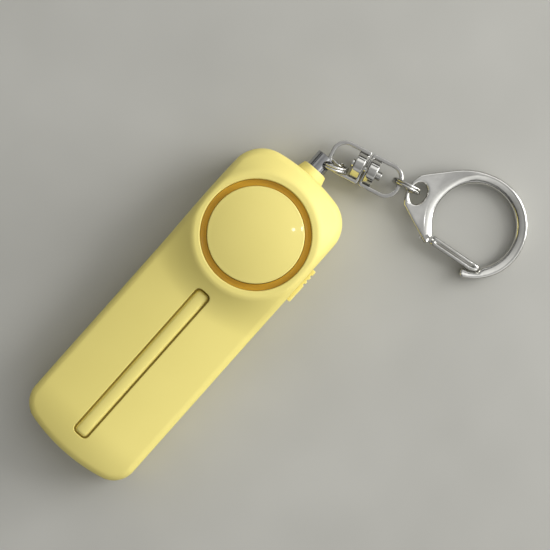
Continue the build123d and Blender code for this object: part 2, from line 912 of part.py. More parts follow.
def plug_socket():
    """The sleeve in the head wall that guides the plug's stem."""
    sleeve = rod(socket_radius, socket_start, top_y - end_arc_drop(socket_radius) - touch_gap)
    flange_end = top_y - wall - end_arc_drop(socket_radius + socket_flange_width) - touch_gap
    flange = rod(socket_radius + socket_flange_width, flange_end - socket_flange, flange_end)
    bore = rod(stem_radius + running_gap, socket_start - overrun, top_y + overrun)
    return sleeve + flange - bore


def end_arc_drop(x):
    """How far the head wall curves back at a distance from the middle."""
    return end_arc_radius - sqrt(end_arc_radius ** 2 - x ** 2)


def pin_switch():
    """The plug's switch on the board, with a bore for its plunger."""
    end = stem_tip - loose_gap - plunger_length / 2
    body = block(
        (-pin_switch_width / 2, pin_switch_width / 2),
        (end - pin_switch_length, end),
        (board_top, joint_height + pin_switch_top_wall),
    )
    depth = plunger_length / 2 + loose_gap + touch_gap
    return body - rod(plunger_radius + running_gap, end - depth, end + overrun)


def pin_plunger():
    """The plunger that the plug's stem holds in."""
    end = stem_tip - touch_gap
    return rod(plunger_radius, end - plunger_length, end)


def wire_ring(radius):
    """A split ring lying flat: two touching turns of wire, each cut at its own place."""
    wires = [Pos(radius, side * wire_pitch / 2) * Circle(wire_radius) for side in (-1, 1)]
    ring = revolve(Plane.XZ * (wires[0] + wires[1]), Axis.Z)
    for side, turn in ((1, 0), (-1, split_turn)):
        cut = Pos(radius, 0, side * wire_pitch) * Box(3 * wire_radius, split_width, wire_pitch * 2 - touch_gap)
        ring = ring - Rot(0, 0, turn) * cut
    return ring


def inner_ring():
    """The ring through the post's eye, hanging down and away towards the swivel."""
    axis = eye_direction()
    turn = radians(inner_ring_turn)
    level = Vector(axis.Z, 0, -axis.X)
    out = level * cos(turn) + Vector(0, 1, 0) * sin(turn)
    bow = inner_ring_radius - sqrt(inner_ring_radius ** 2 - post_radius ** 2)
    middle = Vector(0, eye_y, joint_height) + out * (inner_ring_radius - bow / 2)
    plane = Plane(origin=middle, x_dir=out, z_dir=axis.cross(out))
    return plane.location * Rot(0, 0, split_place) * wire_ring(inner_ring_radius)


def swivel_place():
    """The swivel's middle: X across its loops, Y along the chain, away from the plug."""
    return Pos(swivel_across, post_tip + swivel_along, swivel_height) * Rot(0, 0, swivel_heading)


def bail(length):
    """One half of the swivel, from the gap outward along +Y: plate, band loop and barrel."""
    start = swivel_gap / 2
    outer = Pos(0, start + length / 2) * Rectangle(bail_width, length)
    outer = fillet(outer.vertices().sort_by(Axis.Y)[-2:], bail_corner)
    outer = fillet(outer.vertices().sort_by(Axis.Y)[:2], bail_root_corner)
    hole_length = length - bail_plate - bail_thickness
    hole = Pos(0, start + bail_plate + hole_length / 2) * Rectangle(bail_width - 2 * bail_thickness, hole_length)
    hole = fillet(hole.vertices().sort_by(Axis.Y)[-2:], bail_corner - bail_thickness)
    band = extrude(outer - hole, bail_band / 2, both=True)
    barrel_start = start + bail_plate
    barrel = Pos(0, barrel_start - touch_gap) * Rot(-90, 0, 0) * drum(barrel_radius, 0, barrel_length + touch_gap)
    bore = Rot(-90, 0, 0) * drum(rivet_radius + running_gap, -overrun, barrel_start + barrel_length + touch_gap)
    return band + barrel - bore


def bail_inner():
    """The swivel half that the first ring runs through."""
    return swivel_place() * Rot(0, 0, 180) * bail(inner_bail_length)


def bail_outer():
    """The swivel half that carries the second ring."""
    return swivel_place() * bail(outer_bail_length)


def rivet():
    """The rivet that both halves turn on, headed at each end."""
    reach = swivel_gap / 2 + bail_plate + barrel_length + running_gap
    shank = drum(rivet_radius, -reach, reach)
    head = drum(rivet_head_radius, reach, reach + rivet_head_length)
    tail = drum(rivet_head_radius, -reach - rivet_head_length / 2, -reach)
    return swivel_place() * Rot(-90, 0, 0) * (shank + head + tail)


def outer_ring():
    """The ring that stands on edge between the swivel and the clasp's eye."""
    height = outer_ring_radius + wire_radius + ring_floor_gap - swivel_height
    place = swivel_place() * Pos(outer_ring_across, outer_ring_along, height) * Rot(0, 90, 0)
    return place * Rot(0, 0, split_place) * wire_ring(outer_ring_radius)


def clasp_place():
    """The clasp's eye: X towards the gate, Y along the clasp, tipped so that its far end lies low."""
    far = clasp_reach + clasp_radius
    drop = clasp_eye_height - clasp_thickness / 2 - clasp_floor_gap
    tip = degrees(asin(drop / far))
    at = swivel_place() * Pos(clasp_across, clasp_along)
    spot = at.position
    return Pos(spot.X, spot.Y, clasp_eye_height) * Rot(0, 0, clasp_heading) * Rot(-tip, 0, 0)


def clasp_ring():
    """The round part of the clasp: a rounded band, bevelled inside, turned about its middle."""
    half = clasp_thickness / 2
    section = Polyline(
        (clasp_bore_radius, -half + clasp_bevel_rise),
        (clasp_bore_radius + clasp_bevel_run, -half),
        (clasp_radius, -half),
        (clasp_radius, half),
        (clasp_bore_radius + clasp_bevel_run, half),
        (clasp_bore_radius, half - clasp_bevel_rise),
        close=True,
    )
    face = make_face(section)
    outer = [corner for corner in face.vertices() if corner.X > clasp_radius - touch_gap]
    face = fillet(outer, clasp_edge_radius)
    return Pos(0, clasp_reach) * revolve(Plane.XZ * face, Axis.Z)


def clasp_nose():
    """The flat part that the round hook is drawn down to, with the eye's web at its end."""
    side_y = clasp_reach - clasp_side_drop
    side_x = -clasp_radius + clasp_side_radius - sqrt(clasp_side_radius ** 2 - clasp_side_drop ** 2)
    half_drop = clasp_side_drop / 2
    half_x = -clasp_radius + clasp_side_radius - sqrt(clasp_side_radius ** 2 - half_drop ** 2)
    end = -clasp_eye_length / 2 - clasp_web
    corner_y = end + clasp_nose_radius - sqrt(clasp_nose_radius ** 2 - clasp_nose_half ** 2)
    shoulder_y = gate_pin_along + gate_shoulder_gap
    side = ThreePointArc((-clasp_radius, clasp_reach), (half_x, side_y + half_drop), (side_x, side_y))
    tip = ThreePointArc((-clasp_nose_half, corner_y), (0, end), (clasp_nose_half, corner_y))
    left = Line((side_x, side_y), (-clasp_nose_half, corner_y))
    right = Polyline(
        (clasp_nose_half, corner_y),
        (clasp_shoulder, shoulder_y),
        (0, shoulder_y),
        (0, clasp_reach),
        (-clasp_radius, clasp_reach),
    )
    plan = make_face(side + left + tip + right)
    flat = clasp_plate / 2
    full = clasp_thickness / 2
    thick_y = clasp_plate_run + clasp_taper_run
    profile = make_face(
        Polyline(
            (end - overrun, -flat),
            (clasp_plate_run, -flat),
            (thick_y, -full),
            (clasp_reach + overrun, -full),
            (clasp_reach + overrun, full),
            (thick_y, full),
            (clasp_plate_run, flat),
            (end - overrun, flat),
            close=True,
        )
    )
    band = extrude(Plane.YZ * profile, 2 * clasp_radius, both=True)
    nose = extrude(plan, clasp_thickness, both=True) & band
    bore = Pos(0, clasp_reach) * Cylinder(clasp_bore_radius, 2 * clasp_thickness)
    return nose - bore


def clasp_hook():
    """The clasp's body: ring and nose, with the eye, the gate's opening and its forked shoulder."""
    shoulder_y = gate_pin_along + gate_shoulder_gap
    far = clasp_radius + overrun
    opening = Polyline(
        (0, shoulder_y),
        (far, shoulder_y),
        (far, clasp_tip_along + clasp_tip_slope),
        (0, clasp_tip_along - clasp_tip_slope),
        close=True,
    )
    gap = extrude(make_face(opening), clasp_thickness, both=True)
    low_right = block((0, far), (-far, shoulder_y), (-clasp_thickness, clasp_thickness))
    ring = clasp_ring() - gap - low_right
    eye = extrude(Ellipse(clasp_eye_width / 2, clasp_eye_length / 2), clasp_thickness, both=True)
    heel = gate_knuckle_radius + running_gap + gate_leaf_thickness
    slot_half = gate_tongue / 2 + running_gap
    slot = block(
        (gate_pin_across - gate_knuckle_radius - board_margin, far),
        (gate_pin_along - heel, clasp_reach),
        (-slot_half, slot_half),
    )
    pin_hole = Pos(gate_pin_across, gate_pin_along) * Cylinder(gate_pin_radius, 2 * clasp_thickness)
    hook = ring + clasp_nose() - eye - slot - pin_hole
    return clasp_place() * hook


def gate_pin():
    """The pin through the clasp's shoulder that the gate turns on."""
    share = (gate_pin_along - clasp_plate_run) / clasp_taper_run
    half = (clasp_plate + (clasp_thickness - clasp_plate) * share) / 2 + gate_pin_head
    return clasp_place() * Pos(gate_pin_across, gate_pin_along) * drum(gate_pin_radius, -half, half)


def gate_leaf():
    """The leaf spring in the shoulder's slot, bearing on the gate's round heel."""
    top = gate_pin_along - gate_knuckle_radius - running_gap
    half = gate_knuckle_radius
    leaf = block(
        (gate_pin_across - half, gate_pin_across + half),
        (top - gate_leaf_thickness, top),
        (-gate_tongue / 2, gate_tongue / 2),
    )
    return clasp_place() * leaf


def clasp_gate():
    """The sprung gate: a grooved bar with a tongue on the pin and a nose inside the hook's tip."""
    left = gate_pin_across - gate_left
    start = gate_pin_along + gate_heel_gap
    end = clasp_tip_along - gate_tip_gap
    half = gate_thickness / 2
    bar = block((left, left + gate_width), (start, end), (-half, half))
    nose = block((left, left + gate_nose_width), (end - gate_nose_length, end + gate_nose_length), (-half, half))
    gate = bar + nose
    long_edges = gate.edges().filter_by(Axis.Y)
    gate = fillet(long_edges, gate_edge_radius)
    groove_x = left + gate_width / 2 - gate_groove_width
    for low, high in ((half - gate_groove_depth, 2 * half), (-2 * half, -half + gate_groove_depth)):
        gate = gate - block(
            (groove_x, groove_x + gate_groove_width),
            (start + gate_groove_width, end + 2 * gate_nose_length),
            (low, high),
        )
    knuckle = Pos(gate_pin_across, gate_pin_along) * drum(gate_knuckle_radius, -gate_tongue / 2, gate_tongue / 2)
    neck = block(
        (gate_pin_across - gate_neck_half, gate_pin_across + gate_neck_half),
        (gate_pin_along, start + gate_groove_width),
        (-gate_tongue / 2, gate_tongue / 2),
    )
    bore = Pos(gate_pin_across, gate_pin_along) * Cylinder(gate_pin_radius + running_gap, 2 * gate_thickness)
    return clasp_place() * (gate + knuckle + neck - bore)


case = case_form()
save(front_shell(case), "front_shell")
save(rear_shell(case), "rear_shell")
save(bar_inlay(), "inlay_bar")
save(dome_cap(), "dome_cap")
save(light_ring(), "light_ring")
save(sounder_case(), "sounder_case")
save(sounder_gasket(), "sounder_gasket")
save(sounder_diaphragm(), "sounder_diaphragm")
save(piezo_ceramic(), "piezo_ceramic")
save(sounder_leads(), "sounder_leads")
save(circuit_board(), "circuit_board")
save(boost_coil(), "boost_coil")
save(controller_chip(), "controller_chip")
save(driver_transistors(), "driver_transistors")
save(capacitors(), "capacitors")
save(strobe_leds(), "strobe_leds")
save(cell(-cell_spacing / 2, True), "battery_cell_left")
save(cell(cell_spacing / 2, False), "battery_cell_right")
save(head_contact(-cell_spacing / 2), "positive_contact")
save(head_contact(cell_spacing / 2), "negative_contact")
save(bridge_contact(), "bridge_contact")
save(cell_springs(), "battery_springs")
save(battery_door(), "battery_door")
save(door_screw(), "door_screw")
save(case_screws(), "case_screws")
save(slide_switch(), "slide_switch_body")
save(side_knob(), "side_switch_knob")
save(pin_switch(), "pin_switch_body")
save(pin_plunger(), "pin_switch_plunger")
save(plug_socket(), "plug_socket")
save(pull_plug(), "pull_plug")
save(plug_post(), "plug_post")
save(inner_ring(), "split_ring_inner")
save(bail_inner(), "swivel_bail_inner")
save(rivet(), "swivel_rivet")
save(bail_outer(), "swivel_bail_outer")
save(outer_ring(), "split_ring_outer")
save(clasp_hook(), "clasp_hook")
save(gate_pin(), "gate_pin")
save(gate_leaf(), "gate_leaf_spring")
save(clasp_gate(), "clasp_gate")
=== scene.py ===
import math

import bpy
from mathutils import Matrix, Vector
from mathutils.geometry import delaunay_2d_cdt
from mathutils.kdtree import KDTree


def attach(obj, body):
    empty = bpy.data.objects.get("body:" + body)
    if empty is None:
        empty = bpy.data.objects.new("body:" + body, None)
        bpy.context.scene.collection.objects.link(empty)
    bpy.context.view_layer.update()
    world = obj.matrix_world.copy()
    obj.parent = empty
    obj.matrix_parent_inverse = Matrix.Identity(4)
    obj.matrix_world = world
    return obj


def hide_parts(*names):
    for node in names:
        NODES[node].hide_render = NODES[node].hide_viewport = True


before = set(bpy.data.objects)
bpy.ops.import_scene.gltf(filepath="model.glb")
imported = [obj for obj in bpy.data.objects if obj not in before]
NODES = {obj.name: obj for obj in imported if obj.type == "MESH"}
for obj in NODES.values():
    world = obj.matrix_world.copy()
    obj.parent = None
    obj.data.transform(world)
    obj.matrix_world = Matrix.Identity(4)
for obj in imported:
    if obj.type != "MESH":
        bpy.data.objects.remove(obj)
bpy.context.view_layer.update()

MM = 0.001
TAU = 2 * math.pi
COLLECTION = bpy.context.scene.collection


# Materials: colours are given in screen values and made linear, every texture is a procedural
# one in object coordinates, and the depth of a grain is in metres.
NOISE_LOW, NOISE_HIGH = 0.3, 0.7


def linear(rgb):
    out = []
    for c in rgb:
        c = c / 255
        out.append(c / 12.92 if c <= 0.04045 else ((c + 0.055) / 1.055) ** 2.4)
    return (*out, 1.0)


def add_node(tree, kind, inputs, **settings):
    """A shader node; each input is a value or another node's output."""
    node = tree.nodes.new("ShaderNode" + kind)
    for key, value in settings.items():
        setattr(node, key, value)
    for key, value in inputs.items():
        if isinstance(value, bpy.types.NodeSocket):
            tree.links.new(value, node.inputs[key])
        else:
            node.inputs[key].default_value = value
    return node


def first_node(tree, kind):
    return next(n for n in tree.nodes if n.type == kind)


def new_material(name, metallic=0.0, coat=0.0, coat_roughness=0.1, ior=1.5):
    mat = bpy.data.materials.new(name)
    mat.use_nodes = True
    tree = mat.node_tree
    shader = first_node(tree, "BSDF_PRINCIPLED")
    shader.inputs["Metallic"].default_value = metallic
    shader.inputs["Coat Weight"].default_value = coat
    shader.inputs["Coat Roughness"].default_value = coat_roughness
    shader.inputs["IOR"].default_value = ior
    return mat, tree, shader, add_node(tree, "TexCoord", {}).outputs["Object"]


def noise_node(tree, coords, scale, detail=2.0):
    inputs = {"Vector": coords, "Scale": scale, "Detail": detail}
    return add_node(tree, "TexNoise", inputs).outputs["Fac"]


def ramp(tree, fac, low, high, first, last):
    node = add_node(tree, "ValToRGB", {"Fac": fac})
    stops = node.color_ramp.elements
    stops[0].position, stops[0].color = low, linear(first)
    stops[1].position, stops[1].color = high, linear(last)
    return node.outputs["Color"]


def spread(tree, fac, low, high):
    inputs = {"Value": fac, "From Min": NOISE_LOW, "From Max": NOISE_HIGH, "To Min": low, "To Max": high}
    return add_node(tree, "MapRange", inputs).outputs["Result"]


def bump(tree, shader, height, strength, distance):
    node = add_node(tree, "Bump", {"Height": height, "Strength": strength, "Distance": distance})
    tree.links.new(node.outputs["Normal"], shader.inputs["Normal"])


def surface(name, dark, light, rough, fine=2500.0, broad=60.0, strength=0.1, depth=0.00002, **kind):
    """A material that varies a little in colour and gloss, with a fine surface grain."""
    mat, tree, shader, coords = new_material(name, **kind)
    wide = noise_node(tree, coords, broad)
    colour = ramp(tree, wide, NOISE_LOW, NOISE_HIGH, dark, light)
    tree.links.new(colour, shader.inputs["Base Color"])
    mid = noise_node(tree, coords, broad * 6, 4.0)
    tree.links.new(spread(tree, mid, *rough), shader.inputs["Roughness"])
    bump(tree, shader, noise_node(tree, coords, fine, 3.0), strength, depth)
    return mat


def layered(name, dark, light, scale, rough, metallic=0.0):
    """Fine wire: bands of two colours along the piece, the darker one painted shade in the grooves
    between its turns.
    """
    mat, tree, shader, coords = new_material(name, metallic=metallic)
    wave = add_node(tree, "TexWave", {"Vector": coords, "Scale": scale}, bands_direction="Z")
    bands = wave.outputs["Fac"]
    # the ramp's dark end falls where the bump dips between turns, so it is painted shade
    tree.links.new(ramp(tree, bands, 0.2, 0.8, dark, light), shader.inputs["Base Color"])
    tree.links.new(spread(tree, noise_node(tree, coords, 400), *rough), shader.inputs["Roughness"])
    bump(tree, shader, bands, 0.3, 0.00005)
    return mat


YELLOW = surface("soft_yellow", (228, 213, 122), (233, 218, 128), (0.5, 0.6),
                 3000, 40, 0.12, 0.000015, ior=1.45)
DOME = surface("dome_yellow", (226, 211, 122), (231, 216, 128), (0.34, 0.42),
               2500, 40, 0.03, 0.00001, ior=1.33, coat=0.3, coat_roughness=0.07)
AMBER = surface("amber_ring", (196, 149, 7), (206, 158, 11), (0.4, 0.5),
                2200, 120, 0.08, 0.00001, coat=0.15)
GROOVE = surface("groove_shade", (150, 130, 48), (160, 140, 55), (0.6, 0.7), 2500, 80)
CHROME = surface("chrome_cast", (184, 183, 178), (198, 197, 193), (0.06, 0.13),
                 1800, 220, 0.03, 0.00001, metallic=1.0)
CAST = surface("chrome_satin", (206, 205, 200), (221, 220, 215), (0.12, 0.2),
               1400, 260, 0.03, 0.00001, metallic=1.0)
WIRE = surface("chrome_wire", (180, 179, 174), (194, 193, 189), (0.06, 0.12),
               1500, 260, 0.03, metallic=1.0)
POST = surface("chrome_post", (158, 158, 159), (174, 174, 174), (0.14, 0.24),
               2600, 200, 0.08, metallic=1.0)
STEEL = surface("plated_steel", (190, 190, 186), (206, 206, 203), (0.25, 0.4),
                2200, 300, 0.12, metallic=1.0)
BLACK = surface("black_plastic", (28, 28, 30), (36, 36, 38), (0.45, 0.6), 2200, 200, 0.15)
RUBBER = surface("black_rubber", (24, 24, 24), (34, 34, 33), (0.7, 0.85), 1800, 300, 0.25)
BRASS = surface("brass_disc", (196, 160, 84), (212, 178, 100), (0.22, 0.35),
                900, 300, 0.08, metallic=1.0)
WHITE = surface("white_ceramic", (226, 224, 214), (236, 234, 226), (0.4, 0.5), 1500, 300, 0.08)
GOLD = surface("gold_contact", (206, 168, 80), (222, 186, 98), (0.2, 0.3),
               1500, 300, 0.05, metallic=1.0)
BOARD = surface("board_green", (14, 84, 44), (20, 98, 54), (0.3, 0.42), 1200, 500, 0.2, coat=0.3)
COPPER = layered("copper_wire", (120, 56, 26), (196, 108, 58), 900, (0.25, 0.4), 1.0)
CAN = surface("capacitor_can", (188, 188, 192), (204, 204, 208), (0.2, 0.32),
              1500, 300, 0.06, metallic=1.0)
LAMP = surface("lamp_white", (238, 232, 206), (246, 242, 222), (0.15, 0.25),
               1500, 300, 0.03, coat=0.4)
CELL = surface("cell_jacket", (34, 36, 42), (46, 48, 56), (0.25, 0.38), 900, 120, 0.05, coat=0.4)


# Mesh helpers: points are in millimetres until mesh_from makes them metres
def set_material(mesh, material):
    mesh.materials.clear()
    mesh.materials.append(material)


def add_object(name, mesh, material, body):
    obj = bpy.data.objects.new(name, mesh)
    COLLECTION.objects.link(obj)
    set_material(mesh, material)
    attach(obj, body)
    return obj


def mesh_from(name, verts, faces, normals=None, sharp=0.6):
    mesh = bpy.data.meshes.new(name)
    mesh.from_pydata([[c * MM for c in v] for v in verts], [], faces)
    mesh.validate()
    for poly in mesh.polygons:
        poly.use_smooth = True
    if normals:
        mesh.normals_split_custom_set_from_vertices([tuple(n) for n in normals])
    else:
        mesh.set_sharp_from_angle(angle=sharp)
    return mesh


def applied(obj, material):
    """Makes the object's modifiers part of its mesh."""
    graph = bpy.context.evaluated_depsgraph_get()
    graph.update()
    mesh = bpy.data.meshes.new_from_object(obj.evaluated_get(graph))
    obj.modifiers.clear()
    obj.data = mesh
    set_material(mesh, material)
    return mesh


def circle(r, sides, cx=0.0, cy=0.0, offset=0.0):
    angles = [TAU * (k + offset) / sides for k in range(sides)]
    return [(cx + r * math.cos(a), cy + r * math.sin(a)) for a in angles]


def lathe(profile, segments=128, cx=0.0, cy=0.0):
    """Verts and faces of a profile (radius, height) turned about Z. A radius of zero is a pole."""
    verts, faces, rows = [], [], []
    for r, z in profile:
        if r < 1e-6:
            rows.append([len(verts)] * segments)
            verts.append((cx, cy, z))
            continue
        rows.append(list(range(len(verts), len(verts) + segments)))
        verts += [(x, y, z) for x, y in circle(r, segments, cx, cy)]
    for low, high in zip(rows, rows[1:]):
        for k in range(segments):
            n = (k + 1) % segments
            face = list(dict.fromkeys([low[k], low[n], high[n], high[k]]))
            if len(face) > 2:
                faces.append(face)
    return verts, faces


def rounded(profile, radius, steps=6):
    """A profile with its inner corners rounded."""
    out = [profile[0]]
    for a, b, c in zip(profile, profile[1:], profile[2:]):
        a, b, c = Vector(a), Vector(b), Vector(c)
        u, v = (a - b), (c - b)
        r = min(radius, 0.45 * u.length, 0.45 * v.length)
        p, q = b + u.normalized() * r, b + v.normalized() * r
        for k in range(steps + 1):
            t = k / steps
            out.append(tuple(p.lerp(b, t).lerp(b.lerp(q, t), t)))
    return out + [profile[-1]]


def between(a, b, run):
    """Points from a to b, about a run apart, without the two ends."""
    a, b = Vector(a), Vector(b)
    n = max(1, int((b - a).length / run))
    return [tuple(a.lerp(b, k / n)) for k in range(1, n)]


def grid(step, rows, columns, shift=0.0):
    """Points of a triangular grid."""
    row_height = 0.866
    return [((i + 0.5 * (j % 2)) * step, j * step * row_height + shift) for j in rows for i in columns]


def ease(t):
    return t * t * (3 - 2 * t)


def clamp(t):
    return min(1.0, max(0.0, t))


def smooth_copy(node, name, material, body, voxel, rounds, grow=0.0):
    """The node's own form, remeshed fine and softened, as a cast or moulded piece is."""
    obj = add_object(name, NODES[node].data.copy(), material, body)
    remesh = obj.modifiers.new("remesh", "REMESH")
    remesh.mode = "VOXEL"
    remesh.voxel_size = voxel * MM
    remesh.use_smooth_shade = True
    soften = obj.modifiers.new("soften", "SMOOTH")
    soften.factor = 0.5
    soften.iterations = rounds
    done = applied(obj, material)
    for poly in done.polygons:
        poly.use_smooth = True
    # what the softening took off thin wire is put back along the normals
    normals = [v.normal.copy() for v in done.vertices]
    for v, normal in zip(done.vertices, normals):
        v.co += normal * grow * MM
    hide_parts(node)


# The case: half its width, the arcs of its ends, its corners and its heights
HALF, ARC, TOP_Y, HEAD_Y = 15.0, 45.0, 42.5, 24.0
HEAD_CORNER, FOOT_CORNER = 8.0, 6.0
JOINT_Z, BODY_Z, COLLAR_Z = 7.0, 13.8, 16.5
ARC_Y = TOP_Y - ARC
HEAD_CX = HALF - HEAD_CORNER
HEAD_CY = ARC_Y + math.sqrt((ARC - HEAD_CORNER) ** 2 - (HALF - HEAD_CORNER) ** 2)
FOOT_CX = HALF - FOOT_CORNER
FOOT_CY = -(ARC_Y + math.sqrt((ARC - FOOT_CORNER) ** 2 - (HALF - FOOT_CORNER) ** 2))
# the front's crown, its fall towards foot and head, and its rounded edge
CROWN, EDGE = 1.45, 1.7
FOOT_DROP, FOOT_FROM, FOOT_RUN = 1.9, -32.5, 10.0
HEAD_DROP, HEAD_FROM, HEAD_RUN = 1.0, 30.0, 12.5
# the collar: its bore, its crest and the slope of its flank
BORE, BORE_SIDES, BORE_LOW, BORE_LIP = 12.72, 220, 13.2, 0.28
CREST, FLANK = 14.45, math.tan(math.radians(41))
CREST_BLEND, FOOT_BLEND = 0.6, 4.0
# the bar's pocket (width, length, corner, middle), its depth and its lip, and the bar in it
BAR_W, BAR_L, BAR_R, BAR_Y = BAR = (4.1, 43.7, 1.3, -15.2)
POCKET, POCKET_LAP, POCKET_LIP, POCKET_PLATE = 0.9, 0.02, 0.16, 0.3
BAR_PLAY, BAR_SHARPER, BAR_RUN = 0.82, 0.4, 0.35
BAR_PROUD, BAR_CROWN, BAR_ROLL, BAR_DEEP = 0.12, 0.34, 0.7, 0.45
# the switch's slot in the side wall, the plug's hole in the head wall, and the shells' seam
SLOT_LOW, SLOT_HIGH, SLOT_TOP = 20.5, 27.0, 9.25
HOLE_R, HOLE_STEPS, HOLE_CLEAR = 2.95, 32, 0.12
SEAM, SEAM_BEVEL = 0.06, 0.12
# where the front's free points lie: in from the edge, out from the bore and out from the bar
EDGE_RINGS = (0.02, 0.08, 0.18, 0.32, 0.5, 0.72, 1.0, 1.3, 1.65, 2.05, 2.5, 2.95)
LIP_RINGS = (0.03, 0.08, 0.15, 0.25, 0.35)
FLANK_RINGS = (0.6, 0.85, 1.15, 1.45, 1.75, 2.1, 2.5, 2.9, 3.3, 3.8, 4.3, 4.9, 5.5)
BAR_RINGS = (0.03, 0.08, 0.16, 0.4)
GRID_STEP, GRID_FROM_EDGE, GRID_FROM_BORE, GRID_FROM_BAR = 0.6, 3.2, 5.8, 0.6
TOUCH = 0.001


def outline(d, step=0.5):
    """The case's outline drawn in by d, counter-clockwise from the foot's right corner."""
    points = []

    def side(a, b):
        n = max(2, int((Vector(b) - Vector(a)).length / step))
        points.extend(tuple(Vector(a).lerp(Vector(b), k / n)) for k in range(n))

    def arc(cx, cy, r, a, b):
        n = max(4, int(abs(b - a) * r / step))
        angles = [a + (b - a) * k / n for k in range(n)]
        points.extend((cx + r * math.cos(t), cy + r * math.sin(t)) for t in angles)

    head = math.atan2(HEAD_CY - ARC_Y, HEAD_CX)
    foot = math.atan2(-FOOT_CY + ARC_Y, FOOT_CX)
    pi = math.pi
    side((HALF - d, FOOT_CY), (HALF - d, HEAD_CY))
    arc(HEAD_CX, HEAD_CY, HEAD_CORNER - d, 0, head)
    arc(0, ARC_Y, ARC - d, head, pi - head)
    arc(-HEAD_CX, HEAD_CY, HEAD_CORNER - d, pi - head, pi)
    side((-HALF + d, HEAD_CY), (-HALF + d, FOOT_CY))
    arc(-FOOT_CX, FOOT_CY, FOOT_CORNER - d, pi, pi + foot)
    arc(0, -ARC_Y, ARC - d, pi + foot, TAU - foot)
    arc(FOOT_CX, FOOT_CY, FOOT_CORNER - d, TAU - foot, TAU)
    return points


def inside(x, y):
    """Distance in from the outline, and the outward direction there."""
    ax = abs(x)
    sx = 1 if x >= 0 else -1
    corners = ((HEAD_CX, HEAD_CY, HEAD_CORNER, 1), (FOOT_CX, FOOT_CY, FOOT_CORNER, -1))
    for cx, cy, r, up in corners:
        dx, dy = ax - cx, (y - cy) * up
        centre = ARC_Y * up
        if dy > 0 and dx > 0 and dx * (cy - centre) * up > dy * cx:
            dist = math.hypot(dx, dy)
            return r - dist, (sx * dx / dist, up * dy / dist)
    best = (HALF - ax, (sx, 0.0))
    for up in (1, -1):
        dy = y - ARC_Y * up
        dist = math.hypot(x, dy)
        if dy * up > 0 and ARC - dist < best[0]:
            best = (ARC - dist, (x / dist, dy / dist))
    return best


def soft_max(a, b, k):
    h = max(k - abs(a - b), 0.0) / k
    return max(a, b) + h * h * k / 4


def foot_slope(y):
    """How far the front falls towards the foot."""
    return FOOT_DROP * (max(0.0, FOOT_FROM - y) / FOOT_RUN) ** 2


def base_height(x, y):
    """The crowned body and the collar's mound, before the edges are rounded."""
    crown = CROWN * (x / HALF) ** 2
    head = HEAD_DROP * (max(0.0, y - HEAD_FROM) / HEAD_RUN) ** 2
    body = BODY_Z - crown - foot_slope(y) - head
    flank = COLLAR_Z - (math.hypot(x, y - HEAD_Y) - CREST) * FLANK
    mound = -soft_max(-COLLAR_Z, -flank, CREST_BLEND)
    return soft_max(body, mound, FOOT_BLEND)


def roll(d, radius):
    """How far a rounded edge lies below, and the sine of its turn, at d in from it."""
    if d >= radius:
        return 0.0, 0.0
    s = (radius - max(d, 0.0)) / radius
    return radius * (1 - math.sqrt(max(0.0, 1 - s * s))), s


def turned(normal, way, s):
    """The normal, turned towards a direction by the angle with the sine s."""
    return (normal * math.sqrt(max(0.0, 1 - s * s)) + way * s).normalized() if s else normal


def rounded_bar(x, y, w, length, r, cy):
    """Signed distance outside a rounded rectangle, and its direction."""
    qx, qy = abs(x) - (w / 2 - r), abs(y - cy) - (length / 2 - r)
    sx, sy = (1 if x >= 0 else -1), (1 if y >= cy else -1)
    if qx > 0 and qy > 0:
        dist = math.hypot(qx, qy)
        return dist - r, (sx * qx / dist, sy * qy / dist)
    return (qx - r, (sx, 0.0)) if qx > qy else (qy - r, (0.0, sy))


def top_point(x, y):
    """Height and normal of the front shell's outer face."""
    h = 0.02
    nx = -(base_height(x + h, y) - base_height(x - h, y)) / (2 * h)
    ny = -(base_height(x, y + h) - base_height(x, y - h)) / (2 * h)
    n = Vector((nx, ny, 1)).normalized()
    d, out = inside(x, y)
    down, s = roll(d, EDGE)
    n = turned(n, Vector((*out, 0)), s)
    r = math.hypot(x, y - HEAD_Y)
    lip, s = roll(r - BORE, BORE_LIP)
    n = turned(n, -Vector((x / r, (y - HEAD_Y) / r, 0)), s)
    away, out = rounded_bar(x, y, *BAR)
    dip, s = roll(away, POCKET_LIP)
    n = turned(n, -Vector((*out, 0)), s)
    return base_height(x, y) - down - lip - dip, n


def bar_outline(w, length, r, cy, run=0.5):
    """A rounded rectangle's outline, counter-clockwise."""
    steps = 8
    points = []
    for sx, sy, start in ((1, 1, 0), (-1, 1, 90), (-1, -1, 180), (1, -1, 270)):
        cx, ccy = sx * (w / 2 - r), cy + sy * (length / 2 - r)
        angles = [math.radians(start + 90 * k / steps) for k in range(steps + 1)]
        corner = [(cx + r * math.cos(a), ccy + r * math.sin(a)) for a in angles]
        if points:
            points += between(points[-1], corner[0], run)
        points += corner
    return points + between(points[-1], points[0], run)


def field(points, loops, keep):
    """Triangles over flat points, with closed loops as fixed edges, kept where keep says."""
    coords, edges = [Vector(p) for p in points], []
    for loop in loops:
        first = len(coords)
        coords += [Vector(p) for p in loop]
        edges += [(first + k, first + (k + 1) % len(loop)) for k in range(len(loop))]
    flat, _, tris, *_ = delaunay_2d_cdt(coords, edges, [], 0, 1e-5)
    faces = []
    for tri in tris:
        a, b, c = (flat[i] for i in tri)
        mid = (a + b + c) / 3
        turn_way = (b - a).cross(c - a)
        if abs(turn_way) > 1e-4 and keep(mid.x, mid.y):
            faces.append(list(tri) if turn_way > 0 else [tri[0], tri[2], tri[1]])
    return flat, faces


def raised(flat, point):
    """Flat points at the heights that point gives, and the normals there."""
    found = [point(p.x, p.y) for p in flat]
    return [(p.x, p.y, z) for p, (z, _) in zip(flat, found)], [n for _, n in found]


